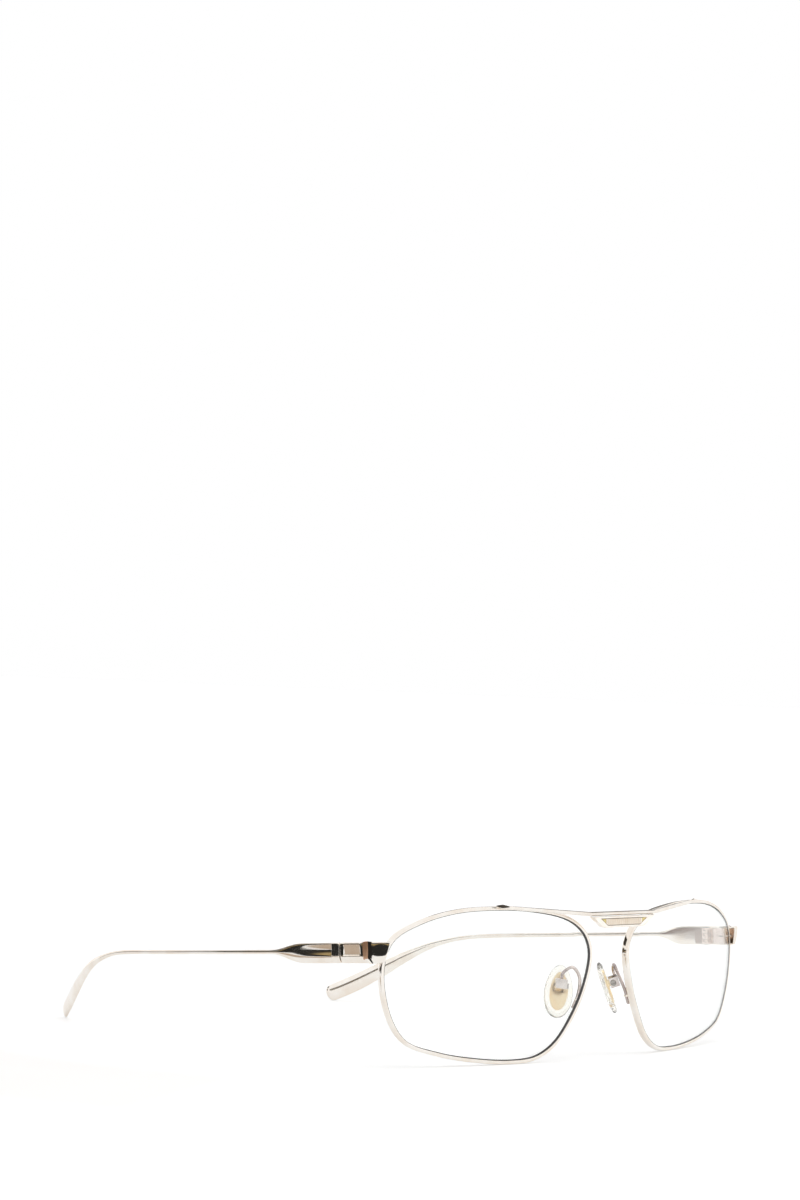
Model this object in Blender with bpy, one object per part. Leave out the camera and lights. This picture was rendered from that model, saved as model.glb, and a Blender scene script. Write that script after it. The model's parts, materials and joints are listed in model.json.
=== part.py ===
"""Metal spectacle frame: two grooved rims under one straight brow bar, clear lenses, hinged temples.

The model is drawn in millimetres and scaled to metres when it is placed. X runs to the wearer's
left, Y from the front to the temple tips, Z up. While it is drawn, Z = 0 is the height of the lens
centres and Y = 0 the front of the nose gap; at the end the frame is set down on Z = 0.
Only the wearer's left half is drawn, and mirrored makes the right half from it.
"""

import math

import bmesh
import bpy
import numpy as np
from mathutils import Matrix, Vector

MM = 0.001
UP = Vector((0.0, 0.0, 1.0))
RIGHTWARDS = Vector((1.0, 0.0, 0.0))
BACKWARDS = Vector((0.0, 1.0, 0.0))

# Lens surface: both lenses lie on spheres whose centres are just off the middle
BASE_RADIUS = 163.0
WRAP_CENTRE_X = 4.45
WRAP_CENTRE_Z = 4.5

# Rim: the wire's centre line seen from the front, as (x, z) knots of a smooth closed curve
RIM_KNOTS = (
    (7.1, 8.2), (8.6, 12.4), (11.6, 15.1), (16.5, 17.2), (26.8, 18.9), (37.7, 19.4), (49.4, 18.7),
    (58.6, 16.3), (65.5, 12.4), (67.9, 6.4), (66.2, -4.0), (61.4, -11.0), (52.0, -14.2),
    (42.9, -15.7), (31.7, -16.5), (23.5, -15.8), (17.6, -12.6), (12.85, -6.7), (9.2, 0.0),
)
RIM_WIDTH = 0.9
RIM_DEPTH = 1.7
GROOVE_DEPTH = 0.35
GROOVE_WIDTH = 1.0
RIM_EDGE = 0.2
RIM_SPLIT = 0.2
RIM_STATIONS = 84
LENS_THICKNESS = 1.5
LENS_BEVEL = 0.3

# Clearances
BRAZED_GAP = 0.1
LENS_GAP = 0.12
SCREW_GAP = 0.1
KNUCKLE_GAP = 0.12
BUTT_GAP = 0.2
CUT_OVERRUN = 1.0
SCREW_OVERRUN = 0.1

# Brow bar and bridge plate
BAR_DIAMETER = 1.05
BAR_KINK = (12.8, -4.2, 18.05)
BAR_KINK_RADIUS = 5.0
BAR_END_X = 38.4
BAR_LIFT = 0.2
PLATE_TOP_HALF = 12.3
PLATE_BOTTOM_HALF = 8.0
PLATE_HEIGHT = 2.75
PLATE_THICKNESS = 1.3
PLATE_CORNER = 0.8
RECESS_DEPTH = 0.45
RECESS_MARGIN = 0.55
RECESS_HALF = 9.0
INLAY_THICKNESS = 0.25

# Temple bar: the flat front end, the wire and the paddle tip
BAR_HEIGHT = 4.75
BAR_THICKNESS = 1.8
BAR_BEVEL_HEIGHT = 1.5
BAR_BEVEL_INSET = 0.65
BAR_EDGE = 0.18
SLOPE = 0.082
BAR_MID_Z = 8.8
JOINT_OUTER = (73.1, 20.85)
WIRE_DIAMETER = 1.12
WIRE_RISE = 0.35
FLAT_LENGTH = 11.3
TAPER_LENGTH = 9.0
TEMPLE_RADIUS = 153.0
TEMPLE_PEAK_Y = 50.0
TEMPLE_PEAK_X = 74.7
TEMPLE_KNOTS = 26
BEND_START_Y = 100.0
TIP_PATH = (
    (64.6, 106.9, -0.2), (63.5, 110.0, -1.6), (62.0, 113.3, -3.4),
    (59.9, 117.2, -5.9), (57.3, 121.7, -9.0), (54.0, 126.9, -12.5), (49.9, 132.9, -15.9),
)
TIP_WIDTH = 4.7
TIP_THICKNESS = 1.6
TIP_TAPER = 0.85
TIP_ROUND = 1.7

# Endpiece: from its slanted front edge round the bend with its bead to the temple joint
ENDPIECE_FRONT = (68.6, 10.3)
ENDPIECE_BEND = (71.3, 14.55)
ENDPIECE_FRONT_THICKNESS = 0.9
ENDPIECE_SLANT = 1.5
BEAD_WIDTH = 1.2
BEAD_PROUD = 0.22
BEAD_GROOVE = 0.14

# Rim lock behind the endpiece: two half blocks that one screw draws together
LOCK_WIDTH = 2.3
LOCK_LENGTH = 3.1
LOCK_HEIGHT = 4.0
LOCK_DROP = 0.2
LOCK_CHAMFER = 0.75
LOCK_SCREW_RADIUS = 0.5
LOCK_HEAD_RADIUS = 0.85
LOCK_HEAD_HEIGHT = 0.3

# Temple hinge: three knuckles inside the bars
KNUCKLE_RADIUS = 1.1
KNUCKLE_HEIGHTS = (1.25, 1.4, 1.25)
HINGE_DROP = 0.25
LEAF_THICKNESS = 0.7
LEAF_LENGTH = 3.0
LEAF_HEIGHT = 3.8
LEAF_BITE = 0.4
LEAF_RELIEF = 0.02
TEMPLE_LEAF_INSET = 0.15
HINGE_SCREW_RADIUS = 0.5
HINGE_HEAD_RADIUS = 0.85
HINGE_HEAD_HEIGHT = 0.25
SLOT_WIDTH = 0.25
SLOT_DEPTH = 0.2

# Nose pad: silicone oval on a gilt insert, screwed into a box on a bent arm
BOX_CENTRE = (10.83, 5.87, 0.48)
PAD_FRONTAL = 49.4
PAD_SPLAY = 21.0
PAD_LEAN = 8.0
BOX_WIDTH = 2.8
BOX_HEIGHT = 2.4
BOX_BACK = 1.2
BOX_FRONT = 1.0
BOX_WALL = 0.55
PIVOT_FORWARD = 0.2
PAD_SCREW_RADIUS = 0.35
PAD_HEAD_RADIUS = 0.7
PAD_HEAD_HEIGHT = 0.4
TONGUE_RADIUS = 0.72
PAD_CLEARANCE = 0.35
PAD_LENGTH = 13.4
PAD_WIDTH = 7.0
PAD_THICKNESS = 1.7
PAD_DROP = 1.0
PAD_EGG = 0.12
INSERT_LENGTH = 9.4
INSERT_WIDTH = 4.2
INSERT_THICKNESS = 0.5
POCKET_GAP = 0.15
ARM_DIAMETER = 0.85
ARM_RISE = (8.1, 2.55, 2.7)
ARM_APEX = (8.6, 4.3, 4.75)
ARM_FOOT_TOP_Z = -1.4
ARM_FOOT_END_Z = -4.8
ARM_STEM = 1.4

# Scene and materials

def clear_scene():
    for thing in list(bpy.data.objects):
        bpy.data.objects.remove(thing, do_unlink=True)


def make_material(name, colour, metallic, roughness, transmission=0.0, ior=1.5):
    made = bpy.data.materials.new(name)
    made.use_nodes = True
    shader = made.node_tree.nodes["Principled BSDF"]
    shader.inputs["Base Color"].default_value = (*colour, 1.0)
    shader.inputs["Metallic"].default_value = metallic
    shader.inputs["Roughness"].default_value = roughness
    shader.inputs["Transmission Weight"].default_value = transmission
    if transmission:
        shader.inputs["IOR"].default_value = ior
    made.diffuse_color = (*colour, 1.0)
    return made


# Meshes

def mesh_object(name, points, faces):
    """An object in the drawing's millimetres, its faces turned outwards."""
    mesh = bpy.data.meshes.new(name)
    body = bmesh.new()
    corners = [body.verts.new(point) for point in points]
    for face in faces:
        body.faces.new([corners[i] for i in face])
    bmesh.ops.recalc_face_normals(body, faces=body.faces)
    if body.calc_volume(signed=True) < 0:
        bmesh.ops.reverse_faces(body, faces=body.faces)
    body.to_mesh(mesh)
    body.free()
    made = bpy.data.objects.new(name, mesh)
    bpy.context.scene.collection.objects.link(made)
    return made


def loft(name, rings, closed=False):
    """A skin over rings of equal length, capped at both ends unless the rings form a loop."""
    count = len(rings[0])
    points = [point for ring in rings for point in ring]
    faces = []
    for i in range(len(rings) if closed else len(rings) - 1):
        here = i * count
        there = (i + 1) % len(rings) * count
        for j in range(count):
            k = (j + 1) % count
            faces.append((here + j, here + k, there + k, there + j))
    if not closed:
        faces.append(tuple(range(count)))
        faces.append(tuple(range(len(points) - count, len(points))))
    return mesh_object(name, points, faces)


def prism(name, outline, origin, across, along, up, low, high):
    """A flat outline in the (across, along) plane, extruded from low to high along up."""
    rings = [
        [origin + across * a + along * b + up * level for a, b in outline]
        for level in (low, high)
    ]
    return loft(name, rings)


def rectangle(a0, a1, b0, b1):
    return [(a0, b0), (a1, b0), (a1, b1), (a0, b1)]


def disc(radius, sides=20, a=0.0, b=0.0):
    return [
        (a + radius * math.cos(t), b + radius * math.sin(t))
        for t in (2 * math.pi * i / sides for i in range(sides))
    ]


def combine(base, others, operation):
    """The base after one exact Boolean with each of the others, which are used up."""
    for other in others:
        step = base.modifiers.new(operation.title(), "BOOLEAN")
        step.operation = operation
        step.solver = "EXACT"
        step.object = other
    view = bpy.context.evaluated_depsgraph_get()
    mesh = bpy.data.meshes.new_from_object(base.evaluated_get(view))
    base.modifiers.clear()
    old = base.data
    base.data = mesh
    bpy.data.meshes.remove(old)
    for other in others:
        used = other.data
        bpy.data.objects.remove(other, do_unlink=True)
        bpy.data.meshes.remove(used)
    return base


def join(base, *others):
    return combine(base, others, "UNION")


def cut(base, *others):
    return combine(base, others, "DIFFERENCE")


# Curves

def catmull(knots, steps, closed):
    """Points of a centripetal Catmull-Rom curve through the knots."""
    given = [Vector(knot) for knot in knots]
    count = len(given)
    found = []
    for i in range(count if closed else count - 1):
        if closed:
            a, b, c, d = (given[(i + j) % count] for j in (-1, 0, 1, 2))
        else:
            b, c = given[i], given[i + 1]
            a = given[i - 1] if i else b * 2 - c
            d = given[i + 2] if i + 2 < count else c * 2 - b
        t1 = (b - a).length ** 0.5
        t2 = t1 + (c - b).length ** 0.5
        t3 = t2 + (d - c).length ** 0.5
        for j in range(steps):
            t = t1 + (t2 - t1) * j / steps
            p = a.lerp(b, t / t1)
            q = b.lerp(c, (t - t1) / (t2 - t1))
            r = c.lerp(d, (t - t2) / (t3 - t2))
            pq = p.lerp(q, t / t2)
            qr = q.lerp(r, (t - t1) / (t3 - t1))
            found.append(pq.lerp(qr, (t - t1) / (t2 - t1)))
    if not closed:
        found.append(given[-1])
    return found


def resample(points, count, bend_weight=0.0, closed=False):
    """Points spread along a line, closer together where it bends."""
    line = np.array([tuple(p) for p in points], dtype=float)
    if closed:
        line = np.vstack([line, line[:1]])
    steps = np.linalg.norm(np.diff(line, axis=0), axis=1)
    ways = np.diff(line, axis=0) / steps[:, None]
    turns = np.zeros(len(steps))
    turns[1:] = np.arccos(np.clip((ways[1:] * ways[:-1]).sum(axis=1), -1.0, 1.0))
    run = np.concatenate([[0.0], np.cumsum(steps + bend_weight * turns)])
    marks = np.linspace(0.0, run[-1], count + 1 if closed else count)
    if closed:
        marks = marks[:-1]
    columns = [np.interp(marks, run, line[:, i]) for i in range(line.shape[1])]
    return [Vector(row) for row in np.stack(columns, axis=1)]


def tangents(points, closed=False):
    count = len(points)
    found = []
    for i in range(count):
        if closed:
            found.append((points[(i + 1) % count] - points[i - 1]).normalized())
        else:
            found.append((points[min(i + 1, count - 1)] - points[max(i - 1, 0)]).normalized())
    return found


def tube(name, points, radius, sides=10):
    """A round wire along a line, its sections turned as little as possible."""
    ways = tangents(points)
    side = ways[0].orthogonal().normalized()
    rings = []
    for point, way in zip(points, ways):
        side = (side - way * side.dot(way)).normalized()
        other = way.cross(side)
        rings.append([point + side * a + other * b for a, b in disc(radius, sides)])
    return loft(name, rings)


# Lens surface

def sphere_centre():
    offset = math.sqrt(BASE_RADIUS**2 - WRAP_CENTRE_X**2 - WRAP_CENTRE_Z**2)
    return Vector((WRAP_CENTRE_X, offset, WRAP_CENTRE_Z))


def on_surface(x, z):
    """The point of the lens surface at x, z, and the way straight back from it."""
    centre = sphere_centre()
    run = (x - centre.x) ** 2 + (z - centre.z) ** 2
    point = Vector((x, centre.y - math.sqrt(BASE_RADIUS**2 - run), z))
    return point, (centre - point).normalized()


def rim_line(count):
    """Stations round the rim: the point, the way out from the lens and the way back."""
    flat = resample(catmull(RIM_KNOTS, 12, True), count, bend_weight=6.0, closed=True)
    pairs = [on_surface(p.x, p.y) for p in flat]
    ways = tangents([point for point, back in pairs], closed=True)
    middle = sum((point for point, back in pairs), Vector()) / count
    stations = []
    for (point, back), way in zip(pairs, ways):
        out = way.cross(back).normalized()
        if out.dot(point - middle) < 0:
            out.negate()
        stations.append((point, out, back))
    return stations


def nearest_on_rim(test):
    """The rim station with the smallest value of test(point)."""
    return min(rim_line(600), key=lambda station: test(station[0]))


# Bars of the endpiece and temple

def bar_z(y):
    return BAR_MID_Z - SLOPE * (y - JOINT_OUTER[1])


def bar_section(proud=0.0, sink=0.0):
    """Flat bar as (inward, height) pairs: an upright face, a lower bevel and eased edges.

    proud swells its outer side, top and bottom too, and sink lowers its outer face.
    """
    half = BAR_HEIGHT / 2
    top = half + proud
    face = -proud + sink
    bevel = -top + BAR_BEVEL_HEIGHT + 2 * proud
    back = BAR_THICKNESS
    return [
        (face + BAR_EDGE, top), (face, top - BAR_EDGE), (face, (top + bevel) / 2), (face, bevel),
        (face + BAR_BEVEL_INSET * 0.5, (bevel - top) / 2), (face + BAR_BEVEL_INSET, -top),
        (back - BAR_EDGE, -half), (back, -half + BAR_EDGE), (back, -half / 3), (back, half / 3),
        (back, half - BAR_EDGE), (back - BAR_EDGE, half),
    ]


SECTION_ANGLES = (72, 42, 14, -20, -48, -76, -104, -136, -165, 165, 136, 104)


def oval_section(thickness, height):
    """The same number of points on an oval, a little above the bar's middle."""
    return [
        (
            BAR_THICKNESS / 2 - thickness / 2 * math.cos(math.radians(angle)),
            height / 2 * math.sin(math.radians(angle)) + WIRE_RISE,
        )
        for angle in SECTION_ANGLES
    ]


def blend_sections(first, second, share):
    return [
        (a + (c - a) * share, b + (d - b) * share) for (a, b), (c, d) in zip(first, second)
    ]


def smooth_step(share):
    share = min(max(share, 0.0), 1.0)
    return share * share * (3 - 2 * share)


def temple_line(drop=0.0):
    """The temple's centre line from the joint to the tip; drop lowers the tip in proportion."""
    joint, along, out, up = temple_frame()
    start = joint + along * (BUTT_GAP / 2) - out * (BAR_THICKNESS / 2)
    shift = start.x - arc_x(start.y)
    knots = []
    for i in range(TEMPLE_KNOTS):
        y = start.y + (BEND_START_Y - start.y) * i / TEMPLE_KNOTS
        settled = smooth_step((y - start.y) / (TEMPLE_PEAK_Y - start.y))
        knots.append(Vector((arc_x(y) + shift * (1 - settled), y, bar_z(y))))
    for i, (x, y, z) in enumerate(TIP_PATH):
        knots.append(Vector((x, y, z - drop * (i + 1) / len(TIP_PATH))))
    return catmull(knots, 6, False)


def arc_x(y):
    """The temple's large bow seen from above."""
    return TEMPLE_PEAK_X - (y - TEMPLE_PEAK_Y) ** 2 / (2 * TEMPLE_RADIUS)


def temple_stations(line):
    """Lengths along the temple at which it gets a section."""
    length = line_length(line)
    wire_start = FLAT_LENGTH + TAPER_LENGTH
    bend_start = length_to(line, BEND_START_Y)
    wire = bend_start - wire_start
    tip = length - TIP_ROUND - bend_start
    run = [0.0, 0.4, FLAT_LENGTH * 0.3, FLAT_LENGTH * 0.6, FLAT_LENGTH * 0.9]
    run += [FLAT_LENGTH + TAPER_LENGTH * (i - 0.5) / 6 for i in range(1, 7)]
    run += [wire_start + wire * (i + 0.1) / 8 for i in range(8)]
    run += [bend_start + tip * i / 13 for i in range(14)]
    run += [length - TIP_ROUND * (1 - share) for share in (0.35, 0.62, 0.82, 0.95, 0.995)]
    return run


def temple_section(line, s):
    """The flat bar at the front, tapering to a round wire that ends in an oval paddle."""
    length = line_length(line)
    wire_start = FLAT_LENGTH + TAPER_LENGTH
    if s <= wire_start:
        share = smooth_step((s - FLAT_LENGTH + 1) / TAPER_LENGTH)
        return blend_sections(bar_section(), oval_section(WIRE_DIAMETER, WIRE_DIAMETER), share)
    bend_start = length_to(line, BEND_START_Y)
    tip = length - TIP_ROUND - bend_start
    grown = smooth_step((s - bend_start) / (tip * TIP_TAPER))
    past = max((s - (length - TIP_ROUND)) / TIP_ROUND, 0.0)
    rounding = math.sqrt(max(1 - past * past, 0.0))
    thick = (WIRE_DIAMETER + (TIP_THICKNESS - WIRE_DIAMETER) * grown) * rounding
    high = (WIRE_DIAMETER + (TIP_WIDTH - WIRE_DIAMETER) * grown) * rounding
    return oval_section(thick, high)


def temple_rings(drop):
    line = temple_line(drop)
    joint, joint_along, joint_out, joint_up = temple_frame()
    rings = []
    for s in temple_stations(line):
        here = line_at(line, s)
        way = (line_at(line, s + 0.3) - line_at(line, s - 0.3)).normalized()
        way = joint_along.lerp(way, smooth_step(s / (FLAT_LENGTH * 0.6))).normalized()
        out = way.cross(UP).normalized()
        up = out.cross(way).normalized()
        rings.append([
            here + out * (BAR_THICKNESS / 2 - inward) + up * high
            for inward, high in temple_section(line, s)
        ])
    return rings


def line_length(line):
    return sum((b - a).length for a, b in zip(line, line[1:]))


def line_at(line, s):
    """The point at length s along a line, carried straight on past its ends."""
    if s <= 0:
        return line[0] + (line[0] - line[1]).normalized() * -s
    for a, b in zip(line, line[1:]):
        step = (b - a).length
        if s <= step:
            return a.lerp(b, s / step)
        s -= step
    return line[-1] + (line[-1] - line[-2]).normalized() * s


def length_to(line, y):
    run = 0.0
    for a, b in zip(line, line[1:]):
        if b.y >= y:
            return run + (b - a).length * (y - a.y) / (b.y - a.y)
        run += (b - a).length
    return run


def rest_height():
    """The lowest level of the rim, on which the front stands."""
    return min((p + out * (RIM_WIDTH / 2)).z for p, out, back in rim_line(400))


def temple_frame():
    """Outer face at the temple joint: the point, the way back, the way out and the way up."""
    y = JOINT_OUTER[1]
    point = Vector((JOINT_OUTER[0], y, bar_z(y)))
    bend = Vector((*ENDPIECE_BEND, bar_z(ENDPIECE_BEND[1])))
    along = (point - bend).normalized()
    out = along.cross(UP).normalized()
    return point, along, out, out.cross(along).normalized()


def hinge_centre():
    point, along, out, up = temple_frame()
    return point - out * (BAR_THICKNESS + BRAZED_GAP + KNUCKLE_RADIUS) - up * HINGE_DROP


# Front pieces

def make_rim():
    """Grooved wire swept round the lens, split at the lock block on its temporal side."""
    stations = rim_line(RIM_STATIONS)
    split = min(range(RIM_STATIONS), key=lambda i: away_from_lock(stations[i][0]))
    ordered = stations[split:] + stations[:split]
    half = RIM_WIDTH / 2
    deep = RIM_DEPTH / 2
    groove = GROOVE_WIDTH / 2
    section = [
        (half, -deep + RIM_EDGE), (half, deep - RIM_EDGE), (half - RIM_EDGE, deep),
        (-half + RIM_EDGE / 2, deep), (-half, deep - RIM_EDGE / 2), (-half, groove),
        (-half + GROOVE_DEPTH, 0.0), (-half, -groove), (-half, -deep + RIM_EDGE / 2),
        (-half + RIM_EDGE / 2, -deep), (half - RIM_EDGE, -deep),
    ]
    rings = [
        [p + out * across + back * depth for across, depth in section]
        for p, out, back in ordered
    ]
    open_share = RIM_SPLIT / (ordered[0][0] - ordered[-1][0]).length
    rings.append([a.lerp(b, open_share) for a, b in zip(rings[0], rings[-1])])
    return loft("rim", rings)


def away_from_lock(point):
    """How far a rim point is from the lock's height, on the temporal side only."""
    return abs(point.z - lock_height_z()) + (100 if point.x < BAR_END_X else 0)


def lock_height_z():
    return bar_z(ENDPIECE_FRONT[1]) - LOCK_DROP


def make_lens():
    stations = rim_line(RIM_STATIONS)
    edge = -RIM_WIDTH / 2 - LENS_GAP
    apex = -RIM_WIDTH / 2 + GROOVE_DEPTH - 2 * LENS_GAP
    half = LENS_THICKNESS / 2
    profile = [(edge, -half), (edge, -LENS_BEVEL), (apex, 0.0), (edge, LENS_BEVEL), (edge, half)]
    rings = [
        [p + out * across + back * depth for p, out, back in stations]
        for across, depth in profile
    ]
    middle = sum((p for p, out, back in stations), Vector()) / len(stations)
    points = [corner for ring in rings for corner in ring]
    count = len(stations)
    faces = []
    for i in range(len(rings) - 1):
        for j in range(count):
            k = (j + 1) % count
            faces.append((i * count + j, i * count + k, (i + 1) * count + k, (i + 1) * count + j))
    for side, rim_row in ((-half, 0), (half, len(rings) - 1)):
        outer = rim_row * count
        for share in (0.66, 0.33):
            inner = len(points)
            for j in range(count):
                flat = middle.lerp(rings[rim_row][j], share)
                point, back = on_surface(flat.x, flat.z)
                points.append(point + back * side)
            for j in range(count):
                k = (j + 1) % count
                faces.append((outer + j, outer + k, inner + k, inner + j))
            outer = inner
        point, back = on_surface(middle.x, middle.z)
        points.append(point + back * side)
        for j in range(count):
            faces.append((outer + j, outer + (j + 1) % count, len(points) - 1))
    return mesh_object("lens", points, faces)


def bar_line():
    """The brow bar's centre line: welded on the rims' tops, bent at the kinks, straight between."""
    p, out, back = nearest_on_rim(lambda q: abs(q.x - BAR_END_X) + (100 if q.z < 0 else 0))
    end = p - back * (RIM_DEPTH / 2 + BRAZED_GAP + BAR_DIAMETER / 2) + out * BAR_LIFT
    kink = Vector(BAR_KINK)
    to_end = (end - kink).normalized()
    inward = -RIGHTWARDS
    turn = math.pi - to_end.angle(inward)
    reach = BAR_KINK_RADIUS * math.tan(turn / 2)
    a = kink + to_end * reach
    c = kink + inward * reach
    half = [end, end.lerp(a, 0.5), a]
    for share in (0.25, 0.5, 0.75):
        half.append(a.lerp(kink, share).lerp(kink.lerp(c, share), share))
    half.append(c)
    other = [Vector((-p.x, p.y, p.z)) for p in reversed(half)]
    return half + other


def make_brow_bar():
    return tube("brow_bar", bar_line(), BAR_DIAMETER / 2, sides=12)


def plate_outline(shrink=0.0, half_top=None):
    """The plate's trapezoid with eased lower corners, as (x, z) from the bar's centre line."""
    top = -BAR_DIAMETER / 2 - BRAZED_GAP - shrink
    bottom = -BAR_DIAMETER / 2 - BRAZED_GAP - PLATE_HEIGHT + shrink
    slant = (PLATE_TOP_HALF - PLATE_BOTTOM_HALF) / PLATE_HEIGHT
    side = math.hypot(1.0, slant)
    upper = PLATE_TOP_HALF - shrink * side - slant * shrink
    lower = upper - slant * (top - bottom)
    if half_top is not None:
        lower = half_top - slant * (top - bottom)
        upper = half_top
    corner = PLATE_CORNER if not shrink else PLATE_CORNER / 2
    on_slant = (lower + corner * slant / side, bottom + corner / side)
    before = (lower - corner, bottom)
    eased = ((before[0] + 2 * lower + on_slant[0]) / 4, (3 * bottom + on_slant[1]) / 4)
    right = [before, eased, on_slant, (upper, top)]
    return [(-x, z) for x, z in reversed(right)] + right


def make_bridge_plate():
    origin = Vector((0.0, BAR_KINK[1], BAR_KINK[2]))
    front = -PLATE_THICKNESS / 2
    plate = prism(
        "bridge_plate", plate_outline(), origin, RIGHTWARDS, UP, BACKWARDS, front,
        PLATE_THICKNESS / 2,
    )
    recess = prism(
        "recess", plate_outline(RECESS_MARGIN, RECESS_HALF), origin, RIGHTWARDS, UP, BACKWARDS,
        front - CUT_OVERRUN, front + RECESS_DEPTH,
    )
    return cut(plate, recess)


def make_plate_inlay():
    origin = Vector((0.0, BAR_KINK[1], BAR_KINK[2]))
    floor = -PLATE_THICKNESS / 2 + RECESS_DEPTH - BRAZED_GAP
    return prism(
        "plate_inlay", plate_outline(RECESS_MARGIN + BRAZED_GAP, RECESS_HALF - 3 * BRAZED_GAP),
        origin, RIGHTWARDS, UP, BACKWARDS, floor - INLAY_THICKNESS, floor,
    )


def flat(vector):
    return Vector((vector.x, vector.y, 0.0))


def endpiece_plan():
    """The endpiece seen from above: outer and inner points, its two ways and the side's out."""
    joint, along, out, up = temple_frame()
    front = Vector((*ENDPIECE_FRONT, 0.0))
    bend = Vector((*ENDPIECE_BEND, 0.0))
    end = flat(joint)
    to_bend = (bend - front).normalized()
    to_end = (end - bend).normalized()
    start = front + Vector((-to_bend.y, to_bend.x, 0.0)) * ENDPIECE_FRONT_THICKNESS
    inner_end = end - flat(out).normalized() * BAR_THICKNESS
    share = (inner_end - start).cross(to_end).z / to_bend.cross(to_end).z
    return front, bend, end, start, start + to_bend * share, inner_end, to_bend, to_end


def make_endpiece():
    """A bent bar lofted from its slanted front edge, past the bead on the bend, to the joint."""
    joint, along, out, up = temple_frame()
    front, bend, end, start, corner, inner_end, to_bend, to_end = endpiece_plan()
    half = BEAD_WIDTH / 2
    before = bend - to_bend * half
    after = bend + to_end * half
    inner_before = start.lerp(corner, 0.9)
    inner_after = corner + to_end * half / 2
    end -= to_end * BUTT_GAP / 2
    inner_end -= to_end * BUTT_GAP / 2
    # Each station: outer point, inner point, how proud, how sunk, how much of the slant
    stations = []
    for share in (0.0, 0.07, 0.45, 0.8):
        stations.append((front.lerp(before, share), start.lerp(inner_before, share), 0, 0, 1 - share))
    stations.append((before, inner_before, 0, BEAD_GROOVE, 0))
    for share in (0.1, 0.3, 0.5, 0.7, 0.9):
        outer = before.lerp(bend, share).lerp(bend.lerp(after, share), share)
        inner = inner_before.lerp(inner_after, share)
        proud = BEAD_PROUD * math.sin(math.pi * (0.15 + 0.7 * share))
        stations.append((outer, inner, proud, 0, 0))
    stations.append((after, inner_after, 0, BEAD_GROOVE, 0))
    for share in (0.06, 0.5, 1.0):
        stations.append((after.lerp(end, share), inner_after.lerp(inner_end, share), 0, 0, 0))
    rings = []
    for outer, inner, proud, sink, slant in stations:
        across = (inner - outer) / BAR_THICKNESS
        level = Vector((0.0, 0.0, bar_z(outer.y)))
        lean = to_bend * (-slant * ENDPIECE_SLANT / BAR_HEIGHT) + up
        rings.append([
            outer + level + across * inward + lean * high
            for inward, high in bar_section(proud, sink)
        ])
    return loft("endpiece", rings)


def lock_frame():
    """The lock block's own frame: its origin lies on the inner face of the endpiece."""
    joint, along, out, up = temple_frame()
    rears = [
        (p + back * (RIM_DEPTH / 2) + rim_out * (RIM_WIDTH / 2) - joint).dot(along)
        for p, rim_out, back in rim_line(400)
        if away_from_lock(p) < LOCK_HEIGHT / 2 + RIM_WIDTH
    ]
    start = max(rears) + BRAZED_GAP
    origin = joint + along * start - out * (BAR_THICKNESS + BRAZED_GAP) - up * LOCK_DROP
    return origin, -out, along, up


def lock_outline():
    return [
        (LOCK_WIDTH, 0.0), (LOCK_CHAMFER, 0.0), (0.0, LOCK_CHAMFER), (0.0, LOCK_LENGTH),
        (LOCK_WIDTH, LOCK_LENGTH),
    ]


def lock_axis():
    return LOCK_WIDTH / 2, (LOCK_LENGTH + LOCK_CHAMFER / 2) / 2


def make_lock_half(upper):
    origin, inward, along, up = lock_frame()
    a, b = lock_axis()
    half = LOCK_HEIGHT / 2
    low, high = (RIM_SPLIT / 2, half) if upper else (-half, -RIM_SPLIT / 2)
    block = prism("rim_lock", lock_outline(), origin, inward, along, up, low, high)
    hole = prism(
        "hole", disc(LOCK_SCREW_RADIUS + SCREW_GAP, 16, a, b), origin, inward, along, up,
        low - CUT_OVERRUN, high + CUT_OVERRUN,
    )
    return cut(block, hole)


def make_screw(name, origin, across, along, up, shank, low, high, head, head_high):
    """A slotted screw: a shank from low to high and a head on top of it."""
    body = prism(name, disc(shank, 12), origin, across, along, up, low, high + head_high / 2)
    top = prism(
        "head", disc(head, 16), origin, across, along, up, high, high + head_high
    )
    reach = head + CUT_OVERRUN
    slot = prism(
        "slot", rectangle(-reach, reach, -SLOT_WIDTH / 2, SLOT_WIDTH / 2), origin,
        across, along, up, high + head_high - SLOT_DEPTH, high + head_high + CUT_OVERRUN,
    )
    return cut(join(body, top), slot)


def make_lock_screw():
    origin, inward, along, up = lock_frame()
    a, b = lock_axis()
    centre = origin + inward * a + along * b
    half = LOCK_HEIGHT / 2
    return make_screw(
        "rim_lock_screw", centre, inward, along, up, LOCK_SCREW_RADIUS, -half - SCREW_OVERRUN,
        half + SCREW_GAP, LOCK_HEAD_RADIUS, LOCK_HEAD_HEIGHT,
    )


# Hinge

def knuckle_levels():
    """Bottom and top of each knuckle along the hinge axis, from the lowest up."""
    total = sum(KNUCKLE_HEIGHTS) + 2 * KNUCKLE_GAP
    low = -total / 2
    levels = []
    for height in KNUCKLE_HEIGHTS:
        levels.append((low, low + height))
        low += height + KNUCKLE_GAP
    return levels


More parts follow.
